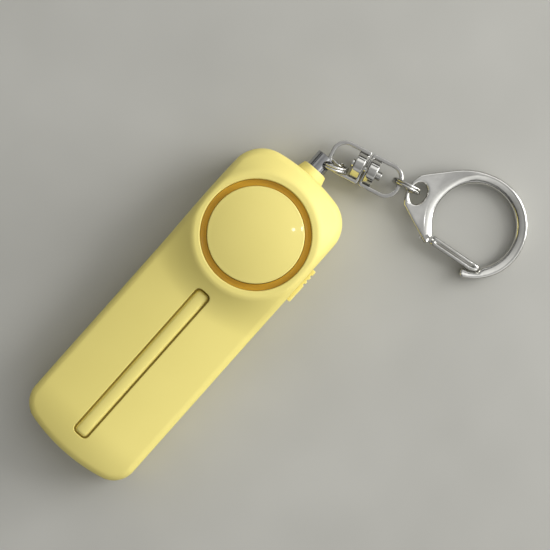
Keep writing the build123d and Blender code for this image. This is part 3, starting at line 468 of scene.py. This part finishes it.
def snapped(loop, verts):
    """The loop's points as the mesh has them, and their heights."""
    tree = KDTree(len(verts))
    for k, (x, y, _) in enumerate(verts):
        tree.insert((x, y, 0), k)
    tree.balance()
    found = [verts[tree.find((x, y, 0))[1]] for x, y in loop]
    return [(x, y) for x, y, _ in found], [z for _, _, z in found]


def rim_runs(faces):
    """The edges that only one face has, in that face's direction."""
    runs = dict.fromkeys((a, b) for face in faces for a, b in zip(face, face[1:] + face[:1]))
    return [(a, b) for a, b in runs if (b, a) not in runs]


def closed_plate(faces, rim, n):
    """A sheet's faces, those of its copy n corners on, and the walls between the two."""
    walls = [[a + n, b + n, b, a] for a, b in rim]
    return faces + [[i + n for i in reversed(face)] for face in faces] + walls


def crosses(loop, x, y):
    odd = False
    for (ax, ay), (bx, by) in zip(loop, loop[1:] + loop[:1]):
        if (ay > y) != (by > y) and x < ax + (y - ay) * (bx - ax) / (by - ay):
            odd = not odd
    return odd


def in_bar(x, y, bar, loop):
    """Whether a point is in the bar's outline, by its own corners where it is near them."""
    away = rounded_bar(x, y, *bar)[0]
    return crosses(loop, x, y) if abs(away) < 0.05 else away < 0


def ring_strip(verts, faces, normals, loop, tops, bottoms, outs, flip=False, under=None):
    """A wall that hangs from a closed loop, with its own corners and normals."""
    first, n = len(verts), len(loop)
    verts += [(x, y, z) for (x, y), z in zip(loop, tops)]
    verts += [(x, y, z) for (x, y), z in zip(under or loop, bottoms)]
    normals += outs + outs
    for k in range(n):
        a, b = first + k, first + (k + 1) % n
        face = [a, a + n, b + n, b]
        faces.append(face[::-1] if flip else face)


def edge_with_hole():
    """The outline from the foot round, with fine points where the plug's hole cuts the head wall."""
    edge = outline(0)
    start = min(range(len(edge)), key=lambda k: edge[k][1])
    points = []
    for x, y in edge[start:] + edge[:start]:
        if y < 0 or abs(x) > HOLE_R + HOLE_CLEAR:
            points.append((x, y))
        elif abs(points[-1][0]) > HOLE_R + HOLE_CLEAR:
            xs = [HOLE_R * math.cos(math.pi * k / HOLE_STEPS) for k in range(HOLE_STEPS + 1)]
            points += [(x, ARC_Y + math.sqrt(ARC ** 2 - x ** 2)) for x in xs]
    return points


def front_points():
    """The front's free points: rings along its edges, and a grid between them."""
    def clear(x, y, margin):
        off_bore = math.hypot(x, y - HEAD_Y) > BORE + TOUCH
        return inside(x, y)[0] > margin and off_bore and rounded_bar(x, y, *BAR)[0] > TOUCH

    free = []
    for d in EDGE_RINGS:
        free += [p for p in outline(d) if clear(*p, d * 0.9)]
    for rings, margin in ((LIP_RINGS, 0.1), (FLANK_RINGS, GRID_FROM_EDGE)):
        for extra in rings:
            ring = circle(BORE + extra, BORE_SIDES, 0.0, HEAD_Y, 0.5)
            free += [p for p in ring if clear(*p, margin)]
    for away in BAR_RINGS:
        grown = bar_outline(BAR_W + 2 * away, BAR_L + 2 * away, BAR_R + away, BAR_Y)
        free += [p for p in grown if clear(*p, 0.1)]
    for x, y in grid(GRID_STEP, range(-72, 74), range(-26, 27), 0.2):
        off_flank = math.hypot(x, y - HEAD_Y) > BORE + GRID_FROM_BORE
        off_bar = rounded_bar(x, y, *BAR)[0] > GRID_FROM_BAR
        if clear(x, y, GRID_FROM_EDGE) and off_flank and off_bar:
            free.append((x, y))
    return free


def front_shell_skin():
    """The front shell's outer side, open at the seam and in the bore and the bar's pocket."""
    edge = edge_with_hole()
    bore = circle(BORE, BORE_SIDES, 0.0, HEAD_Y)
    bar = bar_outline(*BAR)
    chord = BORE * math.cos(math.pi / BORE_SIDES)

    def keep(x, y):
        off_bore = math.hypot(x, y - HEAD_Y) > chord
        return inside(x, y)[0] > 0 and off_bore and not in_bar(x, y, BAR, bar)

    flat, faces = field(front_points(), [edge, bore, bar], keep)
    verts, normals = raised(flat, top_point)
    edge, edge_tops = snapped(edge, verts)
    bore, bore_tops = snapped(bore, verts)
    bar, bar_tops = snapped(bar, verts)

    # the side wall ends at the seam, over the switch's slot, and over the plug's hole
    outs = [Vector((*inside(x * 0.9999, y * 0.9999)[1], 0)) for x, y in edge]
    arch = [y > HEAD_Y and abs(x) < HOLE_R - 1e-4 for x, y in edge]
    lows = []
    for (x, y), over in zip(edge, arch):
        at_slot = x > HALF - 0.01 and SLOT_LOW <= y <= SLOT_HIGH
        low = SLOT_TOP if at_slot else JOINT_Z + SEAM
        lows.append(max(low, JOINT_Z + math.sqrt(HOLE_R ** 2 - x ** 2)) if over else low)
    ring_strip(verts, faces, normals, edge, edge_tops, lows, outs)

    # the small bevel along the seam
    inner = [(x - out.x * SEAM_BEVEL, y - out.y * SEAM_BEVEL) for (x, y), out in zip(edge, outs)]
    unders = [z if over else z - SEAM for z, over in zip(lows, arch)]
    bevel = [(out - Vector((0, 0, 1))).normalized() for out in outs]
    ring_strip(verts, faces, normals, edge, lows, unders, bevel, under=inner)

    inward = [-Vector((x, y - HEAD_Y, 0)).normalized() for x, y in bore]
    ring_strip(verts, faces, normals, bore, bore_tops, [BORE_LOW] * len(bore), inward, flip=True)
    inward = [-Vector((*rounded_bar(x * 1.001, y, *BAR)[1], 0)) for x, y in bar]
    bottoms = [BODY_Z - POCKET - POCKET_LAP - foot_slope(y) for _, y in bar]
    ring_strip(verts, faces, normals, bar, bar_tops, bottoms, inward, flip=True)
    mesh = mesh_from("front_shell_skin", verts, faces, normals)
    obj = add_object("front_shell_skin", mesh, YELLOW, "case")
    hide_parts("front_shell")


def pocket_floor():
    """The floor of the bar's pocket, as a thin plate."""
    rim = bar_outline(*BAR)
    spine = [(0.3 * math.sin(k), BAR_Y + (k - 20)) for k in range(41)]
    flat, faces = field(spine, [rim], lambda x, y: in_bar(x, y, BAR, rim))
    tops = [(p.x, p.y, BODY_Z - POCKET - foot_slope(p.y)) for p in flat]
    verts = tops + [(x, y, z - POCKET_PLATE) for x, y, z in tops]
    faces = closed_plate(faces, sorted(rim_runs(faces)), len(tops))
    mesh = mesh_from("bar_pocket_floor", verts, faces)
    add_object("bar_pocket_floor", mesh, GROOVE, "case")


def bar_skin():
    """The inlay bar: a long half-round with soft ends, following the body's slope."""
    w, length, r = BAR_W - BAR_PLAY, BAR_L - BAR_PLAY, BAR_R - BAR_SHARPER
    bar = (w, length, r, BAR_Y)
    rim = bar_outline(*bar, run=BAR_RUN)
    free = []
    for d in (0.02, 0.08, 0.18, 0.32, 0.5, 0.72):
        free += bar_outline(w - 2 * d, length - 2 * d, max(0.05, r - d), BAR_Y, run=BAR_RUN)
    for y in [j * 0.34 for j in range(-62, 63)]:
        if abs(y) < length / 2 - 0.85:
            free += [(x, BAR_Y + y) for x in (-0.6, -0.3, 0.0, 0.3, 0.6)]

    def point(x, y):
        away, out = rounded_bar(x, y, *bar)
        crown = BAR_CROWN * (x / (w / 2)) ** 2
        down, s = roll(-away, BAR_ROLL)
        nx = 2 * BAR_CROWN * x / (w / 2) ** 2
        ny = -2 * FOOT_DROP * max(0.0, FOOT_FROM - y) / FOOT_RUN ** 2
        n = turned(Vector((nx, ny, 1)).normalized(), Vector((*out, 0)), s)
        return BODY_Z + BAR_PROUD - crown - foot_slope(y) - down, n

    flat, faces = field(free, [rim], lambda x, y: in_bar(x, y, bar, rim))
    verts, normals = raised(flat, point)
    outs = [Vector((*rounded_bar(x, y, *bar)[1], 0)) for x, y in rim]
    rim, tops = snapped(rim, verts)
    bottoms = [z - BAR_DEEP for z in tops]
    ring_strip(verts, faces, normals, rim, tops, bottoms, outs)
    base = len(verts)
    verts += [(x, y, z) for (x, y), z in zip(rim, bottoms)]
    normals += [Vector((0, 0, -1))] * len(rim)
    faces.append([base + k for k in reversed(range(len(rim)))])
    mesh = mesh_from("bar_skin", verts, faces, normals)
    obj = add_object("bar_skin", mesh, YELLOW, "case")
    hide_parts("inlay_bar")


def rear_shell_trimmed():
    """The rear shell, with what its screw bosses push past the outline drawn back to it."""
    most = 0.3
    mesh = NODES["rear_shell"].data.copy()
    normals = [corner.vector.copy() for corner in mesh.corner_normals]
    moved = set()
    for v in mesh.vertices:
        depth, out = inside(v.co.x / MM, v.co.y / MM)
        if -most < depth < -TOUCH:
            moved.add(v.index)
            v.co += Vector((*out, 0)) * depth * MM
    for poly in mesh.polygons:
        if not any(v in moved for v in poly.vertices):
            continue
        for k in poly.loop_indices:
            if abs(normals[k].z) < 0.5:
                co = mesh.vertices[mesh.loops[k].vertex_index].co
                normals[k] = Vector((*inside(co.x / MM, co.y / MM)[1], 0))
    mesh.normals_split_custom_set(normals)
    obj = add_object("rear_shell_trimmed", mesh, YELLOW, "case")
    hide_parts("rear_shell")


def dome_skin():
    """The dome's outer cap and its skirt, closed below."""
    rim, radius, rise, low, edge = 16.75, 11.12, 1.15, 13.7, 0.6
    ball = (radius ** 2 + rise ** 2) / (2 * rise)
    centre = rim + rise - ball
    reach, rings = radius - 0.42, 40
    radii = [reach * k / rings for k in range(rings + 1)]
    cap = [(r, centre + math.sqrt(ball ** 2 - r ** 2)) for r in radii]
    shoulder = [cap[-2], (radius - 0.02, cap[-1][1] - 0.03), (radius, low)]
    profile = cap[:-1] + rounded(shoulder, edge, 10)[1:]
    verts, faces = lathe([(0.0, low)] + profile[::-1], 192, cy=HEAD_Y)
    mesh = mesh_from("dome_skin", verts, faces, sharp=1.2)
    obj = add_object("dome_skin", mesh, DOME, "case")
    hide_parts("dome_cap")


def ring_skin():
    """The amber ring, closed all round, its top slightly dished between dome and collar."""
    inner, outer, low, top, dish, sides = 11.2, 12.68, 13.0, 15.3, 0.12, 192
    profile = rounded([(outer, low), (outer, top), (inner, top - 0.02), (inner, low)], 0.12, 4)
    dished = []
    for a, b in zip(profile, profile[1:]):
        dished.append(a)
        if abs(a[1] - b[1]) < 0.05 and abs(a[0] - b[0]) > 0.5:
            for t in (0.2, 0.4, 0.6, 0.8):
                dished.append((a[0] + (b[0] - a[0]) * t, a[1] - dish * math.sin(math.pi * t)))
    dished.append(profile[-1])
    verts, faces = lathe(dished, sides, cy=HEAD_Y)
    last = len(verts) - sides
    faces += [[last + k, last + (k + 1) % sides, (k + 1) % sides, k] for k in range(sides)]
    mesh = mesh_from("ring_skin", verts, faces, sharp=0.8)
    obj = add_object("ring_skin", mesh, AMBER, "case")
    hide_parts("light_ring")


# The split rings: their wire, how far each turn lies from the middle, and the step between
WIRE_R, WIRE_SIDES, WIRE_END = 0.34, 20, 0.72
COIL_LIFT, COIL_STEP, COIL_SHORT, COIL_START, COIL_POINTS = 0.33, 0.7, 0.75, 2.6, 300


def ring_axis(points, centre):
    """The direction in which a ring's points spread least."""
    some = points[::37]

    def width(d):
        return sum(abs((p - centre).dot(d)) for p in some)

    ways = []
    for a in range(0, 180, 3):
        for b in range(0, 180, 3):
            a_rad, b_rad = math.radians(a), math.radians(b)
            level = math.sin(b_rad)
            ways.append(Vector((level * math.cos(a_rad), level * math.sin(a_rad), math.cos(b_rad))))
    axis = min(ways, key=width)
    for _ in range(40):
        steps = ((1, 0, 0), (-1, 0, 0), (0, 1, 0), (0, -1, 0), (0, 0, 1), (0, 0, -1))
        near = min([(axis + Vector(o) * 0.01).normalized() for o in steps], key=width)
        if width(near) >= width(axis):
            break
        axis = near
    return axis


def split_ring(node, name, body, radius):
    """Two turns of wire in one coil, stepping over where the first turn meets the second."""
    points = [v.co for v in NODES[node].data.vertices]
    centre = sum(points, Vector()) / len(points)
    axis = ring_axis(points, centre)
    along = [(p - centre).dot(axis) for p in points]
    centre = centre + axis * (min(along) + max(along)) / 2
    across = axis.orthogonal().normalized()
    other = axis.cross(across)
    turns, last = 2 * TAU - COIL_SHORT, COIL_POINTS
    path = []
    for k in range(last + 1):
        t = turns * k / last
        lift = 2 * COIL_LIFT * ease(clamp((t - (TAU - COIL_STEP)) / COIL_STEP)) - COIL_LIFT
        way = across * math.cos(t + COIL_START) + other * math.sin(t + COIL_START)
        path.append(centre + way * radius * MM + axis * lift * MM)
    verts, faces = [], []
    for k, p in enumerate(path):
        ahead = (path[min(k + 1, last)] - path[max(k - 1, 0)]).normalized()
        out = (p - centre - axis * (p - centre).dot(axis)).normalized()
        up = ahead.cross(out).normalized()
        r = WIRE_R * (WIRE_END if k in (0, last) else 1.0)
        verts += [tuple(p / MM + out * x + up * y) for x, y in circle(r, WIRE_SIDES)]
    for k in range(last):
        for s in range(WIRE_SIDES):
            a, b = k * WIRE_SIDES + s, k * WIRE_SIDES + (s + 1) % WIRE_SIDES
            faces.append([a, b, b + WIRE_SIDES, a + WIRE_SIDES])
    faces.append(list(range(WIRE_SIDES))[::-1])
    faces.append([last * WIRE_SIDES + s for s in range(WIRE_SIDES)])
    mesh = mesh_from(name, verts, faces, sharp=0.9)
    obj = add_object(name, mesh, WIRE, body)
    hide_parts(node)


# The clasp: its own frame has X towards the gate and Y along the clasp, from the eye's middle
CLASP_AT = (Matrix.Translation((21.6921, 56.7159, 2.55))
            @ Matrix.Rotation(math.radians(-78.24), 4, "Z")
            @ Matrix.Rotation(math.radians(-1.866), 4, "X"))
REACH, OUTER, INNER = 15.2, 12.43, 9.9
FLAT_BACK, FLAT_BACK_X = 17.9, 5.45
EYE_HALF, EYE_SIDES, NOSE_CY, NOSE_R = (2.7, 1.9), 56, 5.05, 7.8
GATE_BACK = ((9.93, 17.75), (9.86, 19.2), (9.5, 20.6), (9.1, 21.35))
CLASP_RUN, CLASP_ROLL, CLASP_EDGE = 0.3, 0.62, 0.5
EYE_THICK, RING_MORE, SLOPE_W, SLOPE, SLOPE_CURVE = 0.86, 0.74, 2.1, 0.66, 1.25
PIN_AT = (7.8, 6.8)


def placed(verts):
    """Points of the clasp's own frame in the shared frame."""
    return [tuple(CLASP_AT @ Vector(v)) for v in verts]


def arc_points(cx, cy, r, a, b, run):
    a, b = math.radians(a), math.radians(b)
    n = max(3, int(abs(b - a) * r / run))
    angles = [a + (b - a) * k / n for k in range(n + 1)]
    return [(cx + r * math.cos(t), cy + r * math.sin(t)) for t in angles]


def bearing(x, y, cx=0.0, cy=REACH):
    return math.degrees(math.atan2(y - cy, x - cx))


def clasp_outline(run):
    """The clasp's plan, counter-clockwise, from the eye's end round the hook and back."""
    nose = [(4.0, -1.65), (6.9, 3.0), (9.0, 6.4), (9.35, 7.2), (9.0, 7.6), (6.4, 7.6)]
    points = [nose[0]] + rounded(nose, 0.8, 5)[1:]
    points += arc_points(0, REACH, INNER, bearing(6.34, 7.6), bearing(7.6, 21.54) - 360, run)
    points += [*reversed(GATE_BACK), (10.35, 17.45), (11.6, 17.75)]
    points += arc_points(0, REACH, OUTER, bearing(12.1, 18.2), 180, run)[1:]
    back_end = bearing(-8.01, 3.4, FLAT_BACK_X) % 360
    points += arc_points(FLAT_BACK_X, REACH, FLAT_BACK, 180, back_end, run)[1:]
    points += [(-6.9, 1.9), (-5.6, 0.15), (-4.6, -1.1)]
    ends = [bearing(x, -1.65, 0, NOSE_CY) for x in (-4.0, 4.0)]
    points += arc_points(0, NOSE_CY, NOSE_R, *ends, run)
    dense = []
    for k, a in enumerate(points):
        a, b = Vector(a), Vector(points[(k + 1) % len(points)])
        n = max(1, round((b - a).length / run))
        if (b - a).length > 1e-4:
            dense += [tuple(a.lerp(b, j / n)) for j in range(n)]
    return dense


def clasp_height(x, y, d):
    """Half the clasp's thickness, at d in from its edge: thicker at the ring, sloped inward."""
    z = EYE_THICK + RING_MORE * ease(clamp((y - 3.0) / 7.0))
    rho = math.hypot(x, y - REACH) - INNER
    if rho < SLOPE_W:
        z -= SLOPE * z * ((SLOPE_W - max(rho, 0.0)) / SLOPE_W) ** SLOPE_CURVE
    return z - min(CLASP_EDGE, 0.8 * z) * roll(d, CLASP_ROLL)[0] / CLASP_ROLL


def clasp_body():
    """The cast body: the plan as a plate with rolled edges, the gate's slot cut in its nose."""
    loop = clasp_outline(CLASP_RUN)
    angles = [-TAU * k / EYE_SIDES for k in range(EYE_SIDES)]
    eye = [(EYE_HALF[0] * math.cos(a), EYE_HALF[1] * math.sin(a)) for a in angles]
    corners = [(ring, k) for ring in (loop, eye) for k in range(len(ring))]
    tree = KDTree(len(corners))
    for k, (ring, i) in enumerate(corners):
        tree.insert((*ring[i], 0), k)
    tree.balance()

    def edge_distance(x, y):
        here, best = Vector((x, y)), 9.0
        for _, k, _ in tree.find_n((x, y, 0), 2):
            ring, i = corners[k]
            for j in (i - 1, i):
                a, b = Vector(ring[j]), Vector(ring[(j + 1) % len(ring)])
                t = clamp((here - a).dot(b - a) / (b - a).length_squared)
                best = min(best, (a.lerp(b, t) - here).length)
        return best

    def in_plan(x, y):
        return crosses(loop, x, y) and not crosses(eye, x, y)

    free = []
    for ring in (loop, eye):
        for k, (x, y) in enumerate(ring):
            ax, ay = ring[k - 1]
            bx, by = ring[(k + 1) % len(ring)]
            out = Vector((by - ay, ax - bx)).normalized()
            for d in (0.03, 0.09, 0.17, 0.27, 0.38, 0.5):
                px, py = x - out.x * d, y - out.y * d
                if edge_distance(px, py) > d * 0.85:
                    free.append((px, py))
    for x, y in grid(CLASP_RUN, range(-12, 112), range(-44, 45)):
        near_ring = abs(math.hypot(x, y - REACH) - 11.2) < 1.4
        if (near_ring or y < 9) and edge_distance(x, y) > CLASP_ROLL and in_plan(x, y):
            free.append((x, y))
    flat, faces = field(free, [loop, eye], in_plan)
    tops = [(p.x, p.y, clasp_height(p.x, p.y, edge_distance(p.x, p.y))) for p in flat]
    verts = placed(tops + [(x, y, -z) for x, y, z in tops])
    faces = closed_plate(faces, rim_runs(faces), len(tops))
    mesh = mesh_from("clasp_cast", verts, faces)
    obj = add_object("clasp_cast", mesh, CAST, "clasp")
    cutter = bpy.data.objects.new("slot", box_mesh("slot", (6.25, 14.0), (5.3, 10.0), (-0.62, 0.62)))
    COLLECTION.objects.link(cutter)
    cut = obj.modifiers.new("slot", "BOOLEAN")
    cut.object, cut.solver, cut.operation = cutter, "EXACT", "DIFFERENCE"
    done = applied(obj, CAST)
    bpy.data.objects.remove(cutter)
    done.set_sharp_from_angle(angle=0.7)
    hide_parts("clasp_hook")


def box_mesh(name, xs, ys, zs):
    verts = placed([(x, y, z) for x in xs for y in ys for z in zs])
    faces = [[0, 1, 3, 2], [4, 6, 7, 5], [0, 4, 5, 1], [2, 3, 7, 6], [0, 2, 6, 4], [1, 5, 7, 3]]
    return mesh_from(name, verts, faces)


def gate_body():
    """The sprung gate: a channel of two rails, drawn down to a tongue on its pin."""
    steps, groove, groove_w, groove_x, thin = 18, 0.6, 0.36, 0.05, 0.12
    # along the gate: place, half its width, half its height
    stations = [(6.2, 0.8, 0.5), (7.9, 0.9, 0.53), (8.2, 1.0, 0.62), (8.45, 1.05, 0.95),
                (8.75, 1.07, 1.08)]
    stations += [(9.0 + 0.6 * k, 1.07, 1.1) for k in range(18)]
    stations += [(19.7, 0.98, 1.08), (20.2, 0.88, 1.03), (20.7, 0.76, 0.93), (20.95, 0.62, 0.78),
                 (21.1, 0.4, 0.5)]
    rows = []
    for y, w, tall in stations:
        middle = 7.85 + 0.07 * (y - 8.5) - max(0.0, y - 19.0) * 0.14
        fade = max(0.0, min(1.0, (y - 8.9) / 0.6, (20.4 - y) / 0.6))
        row = []
        for k in range(steps + 1):
            u = -w * math.cos(math.pi * k / steps)
            away = max(0.0, 1 - abs(u + groove_x) / groove_w)
            down = roll(w - abs(u), 0.4)[0] * min(1.0, tall)
            row.append((middle + u, y, max(tall - down - groove * fade * ease(away), thin)))
        rows.append(row + [(x, yy, -z) for x, yy, z in reversed(row)])
    count = len(rows[0])
    verts = [v for row in rows for v in row]
    faces = []
    for r in range(len(rows) - 1):
        for k in range(count):
            a, b = r * count + k, r * count + (k + 1) % count
            faces.append([a, a + count, b + count, b])
    faces.append(list(range(count)))
    faces.append([(len(rows) - 1) * count + k for k in range(count)][::-1])
    drum = rounded([(0.0, -0.53), (1.2, -0.53), (1.2, 0.53), (0.0, 0.53)], 0.12, 3)
    disc, disc_faces = lathe(drum, 64, *PIN_AT)
    faces += [[i + len(verts) for i in face] for face in disc_faces]
    mesh = mesh_from("gate_cast", placed(verts + disc), faces, sharp=0.9)
    obj = add_object("gate_cast", mesh, CHROME, "gate")
    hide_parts("clasp_gate")


# What stays as the CAD has it, with a better material
PLAIN = {
    YELLOW: ("battery_door",),
    STEEL: ("door_screw", "case_screws", "positive_contact", "negative_contact", "bridge_contact",
            "battery_springs", "gate_leaf_spring"),
    BLACK: ("sounder_case", "controller_chip", "driver_transistors", "slide_switch_body",
            "pin_switch_body", "pin_switch_plunger", "plug_socket"),
    RUBBER: ("sounder_gasket",),
    BRASS: ("sounder_diaphragm",),
    WHITE: ("piezo_ceramic",),
    GOLD: ("sounder_leads",),
    BOARD: ("circuit_board",),
    COPPER: ("boost_coil",),
    CAN: ("capacitors",),
    LAMP: ("strobe_leds",),
    CELL: ("battery_cell_left", "battery_cell_right"),
    CHROME: ("gate_pin",),
    POST: ("plug_post",),
}
for material, nodes in PLAIN.items():
    for node in nodes:
        set_material(NODES[node].data, material)

front_shell_skin()
pocket_floor()
bar_skin()
dome_skin()
ring_skin()
rear_shell_trimmed()
split_ring("split_ring_inner", "inner_ring_coil", "ring_inner", 3.7)
split_ring("split_ring_outer", "outer_ring_coil", "ring_outer", 3.3)
smooth_copy("side_switch_knob", "switch_knob_soft", YELLOW, "switch_knob", 0.08, 2)
smooth_copy("pull_plug", "plug_soft", YELLOW, "plug", 0.11, 4)
for side in ("inner", "outer"):
    smooth_copy(f"swivel_bail_{side}", f"bail_{side}_cast", CHROME, f"bail_{side}",
                0.09, 8, 0.04)
smooth_copy("swivel_rivet", "rivet_cast", CHROME, "bail_inner", 0.07, 5, -0.04)
clasp_body()
gate_body()

# The floor, which is clear from below and within half a millimetre, so that the back can be seen
FLOOR_HALF, FLOOR_Z, FLOOR_NEAR = 1.5, -0.05 * MM, 0.5 * MM
floor_mesh = bpy.data.meshes.new("floor")
floor_corners = ((-1, -1), (1, -1), (1, 1), (-1, 1))
floor_verts = [(x * FLOOR_HALF, y * FLOOR_HALF, FLOOR_Z) for x, y in floor_corners]
floor_mesh.from_pydata(floor_verts, [], [(0, 1, 2, 3)])
floor = bpy.data.objects.new("floor", floor_mesh)
COLLECTION.objects.link(floor)
floor_material = surface("floor_pale", (174, 173, 167), (181, 180, 174), (0.88, 0.96),
                         300, 30, 0.02, ior=1.15)
floor_mesh.materials.append(floor_material)
tree = floor_material.node_tree
back_side = add_node(tree, "NewGeometry", {}).outputs["Backfacing"]
ray_length = add_node(tree, "LightPath", {}).outputs["Ray Length"]
near = add_node(tree, "Math", {0: ray_length, 1: FLOOR_NEAR}, operation="LESS_THAN")
either = add_node(tree, "Math", {0: back_side, 1: near.outputs["Value"]}, operation="MAXIMUM")
plain = first_node(tree, "BSDF_PRINCIPLED").outputs["BSDF"]
clear = add_node(tree, "BsdfTransparent", {}).outputs["BSDF"]
mix = add_node(tree, "MixShader", {0: either.outputs["Value"], 1: plain, 2: clear})
tree.links.new(mix.outputs["Shader"], first_node(tree, "OUTPUT_MATERIAL").inputs["Surface"])

# The camera looks straight down, and sees VIEW_WIDTH at VIEW_DISTANCE, both in millimetres
SENSOR, VIEW_DISTANCE, VIEW_WIDTH = 36.0, 400, 127.6
camera_data = bpy.data.cameras.new("camera")
camera_data.sensor_width = SENSOR
camera_data.lens = SENSOR * VIEW_DISTANCE / VIEW_WIDTH
camera_data.clip_start = 0.01
camera = bpy.data.objects.new("camera", camera_data)
COLLECTION.objects.link(camera)
camera.location = (9.3 * MM, 20.1 * MM, 407 * MM)
camera.rotation_euler = (0, 0, math.radians(41.66))
bpy.context.scene.camera = camera


def area(name, direction, distance, size, power):
    """A disc of light that shines on the middle of the object."""
    light = bpy.data.lights.new(name, "AREA")
    light.shape = "DISK"
    light.size = size
    light.energy = power
    obj = bpy.data.objects.new(name, light)
    COLLECTION.objects.link(obj)
    d = Vector(direction).normalized()
    obj.location = Vector((0.008, 0.015, 0.01)) + d * distance
    obj.rotation_mode = "QUATERNION"
    obj.rotation_quaternion = d.to_track_quat("Z", "Y")


area("key", (0.60, 0.80, 0.364), 0.55, 0.4, 2.98)
area("spark", (0.188, 0.2815, 0.9408), 0.7, 0.014, 0.05)

# The sky: bands of grey by height, brighter towards the key lamp's side
SKY = ((-0.02, 0.3), (0.0, 0.02), (0.22, 0.02), (0.29, 0.9), (0.38, 1.0), (0.43, 0.05),
       (0.53, 0.05), (0.6, 0.9), (0.8, 1.05), (0.87, 0.5), (0.93, 0.44))
SKY_LOW, SKY_HIGH, SKY_BLUE = 0.4, 0.5, 0.99
SKY_SIDE, SKY_LEVEL, SKY_GAIN = (0.33, 0.43, 0.0), 0.57, 1.85
world = bpy.data.worlds.new("world")
bpy.context.scene.world = world
world.use_nodes = True
tree = world.node_tree
way = add_node(tree, "TexCoord", {}).outputs["Generated"]
split = add_node(tree, "SeparateXYZ", {"Vector": way})
place = add_node(tree, "MapRange", {"Value": split.outputs["Z"], "From Min": -1.0})
sky = add_node(tree, "ValToRGB", {"Fac": place.outputs["Result"]})
stops = sky.color_ramp.elements
stops[0].position, stops[0].color = 0.0, (SKY_LOW, SKY_LOW, SKY_LOW, 1)
stops[1].position, stops[1].color = 1.0, (SKY_HIGH, SKY_HIGH, SKY_HIGH, 1)
for height, value in SKY:
    stops.new(0.5 + 0.5 * height).color = (value, value, value * SKY_BLUE, 1)
toward = add_node(tree, "VectorMath", {0: way, 1: SKY_SIDE}, operation="DOT_PRODUCT")
level = add_node(tree, "Math", {0: toward.outputs["Value"], 1: SKY_LEVEL}, operation="ADD",
                 use_clamp=True)
gain = add_node(tree, "Math", {0: level.outputs["Value"], 1: SKY_GAIN}, operation="MULTIPLY")
back = first_node(tree, "BACKGROUND")
tree.links.new(sky.outputs["Color"], back.inputs["Color"])
tree.links.new(gain.outputs["Value"], back.inputs["Strength"])

scene = bpy.context.scene
scene.view_settings.view_transform = "Standard"

bpy.context.view_layer.update()
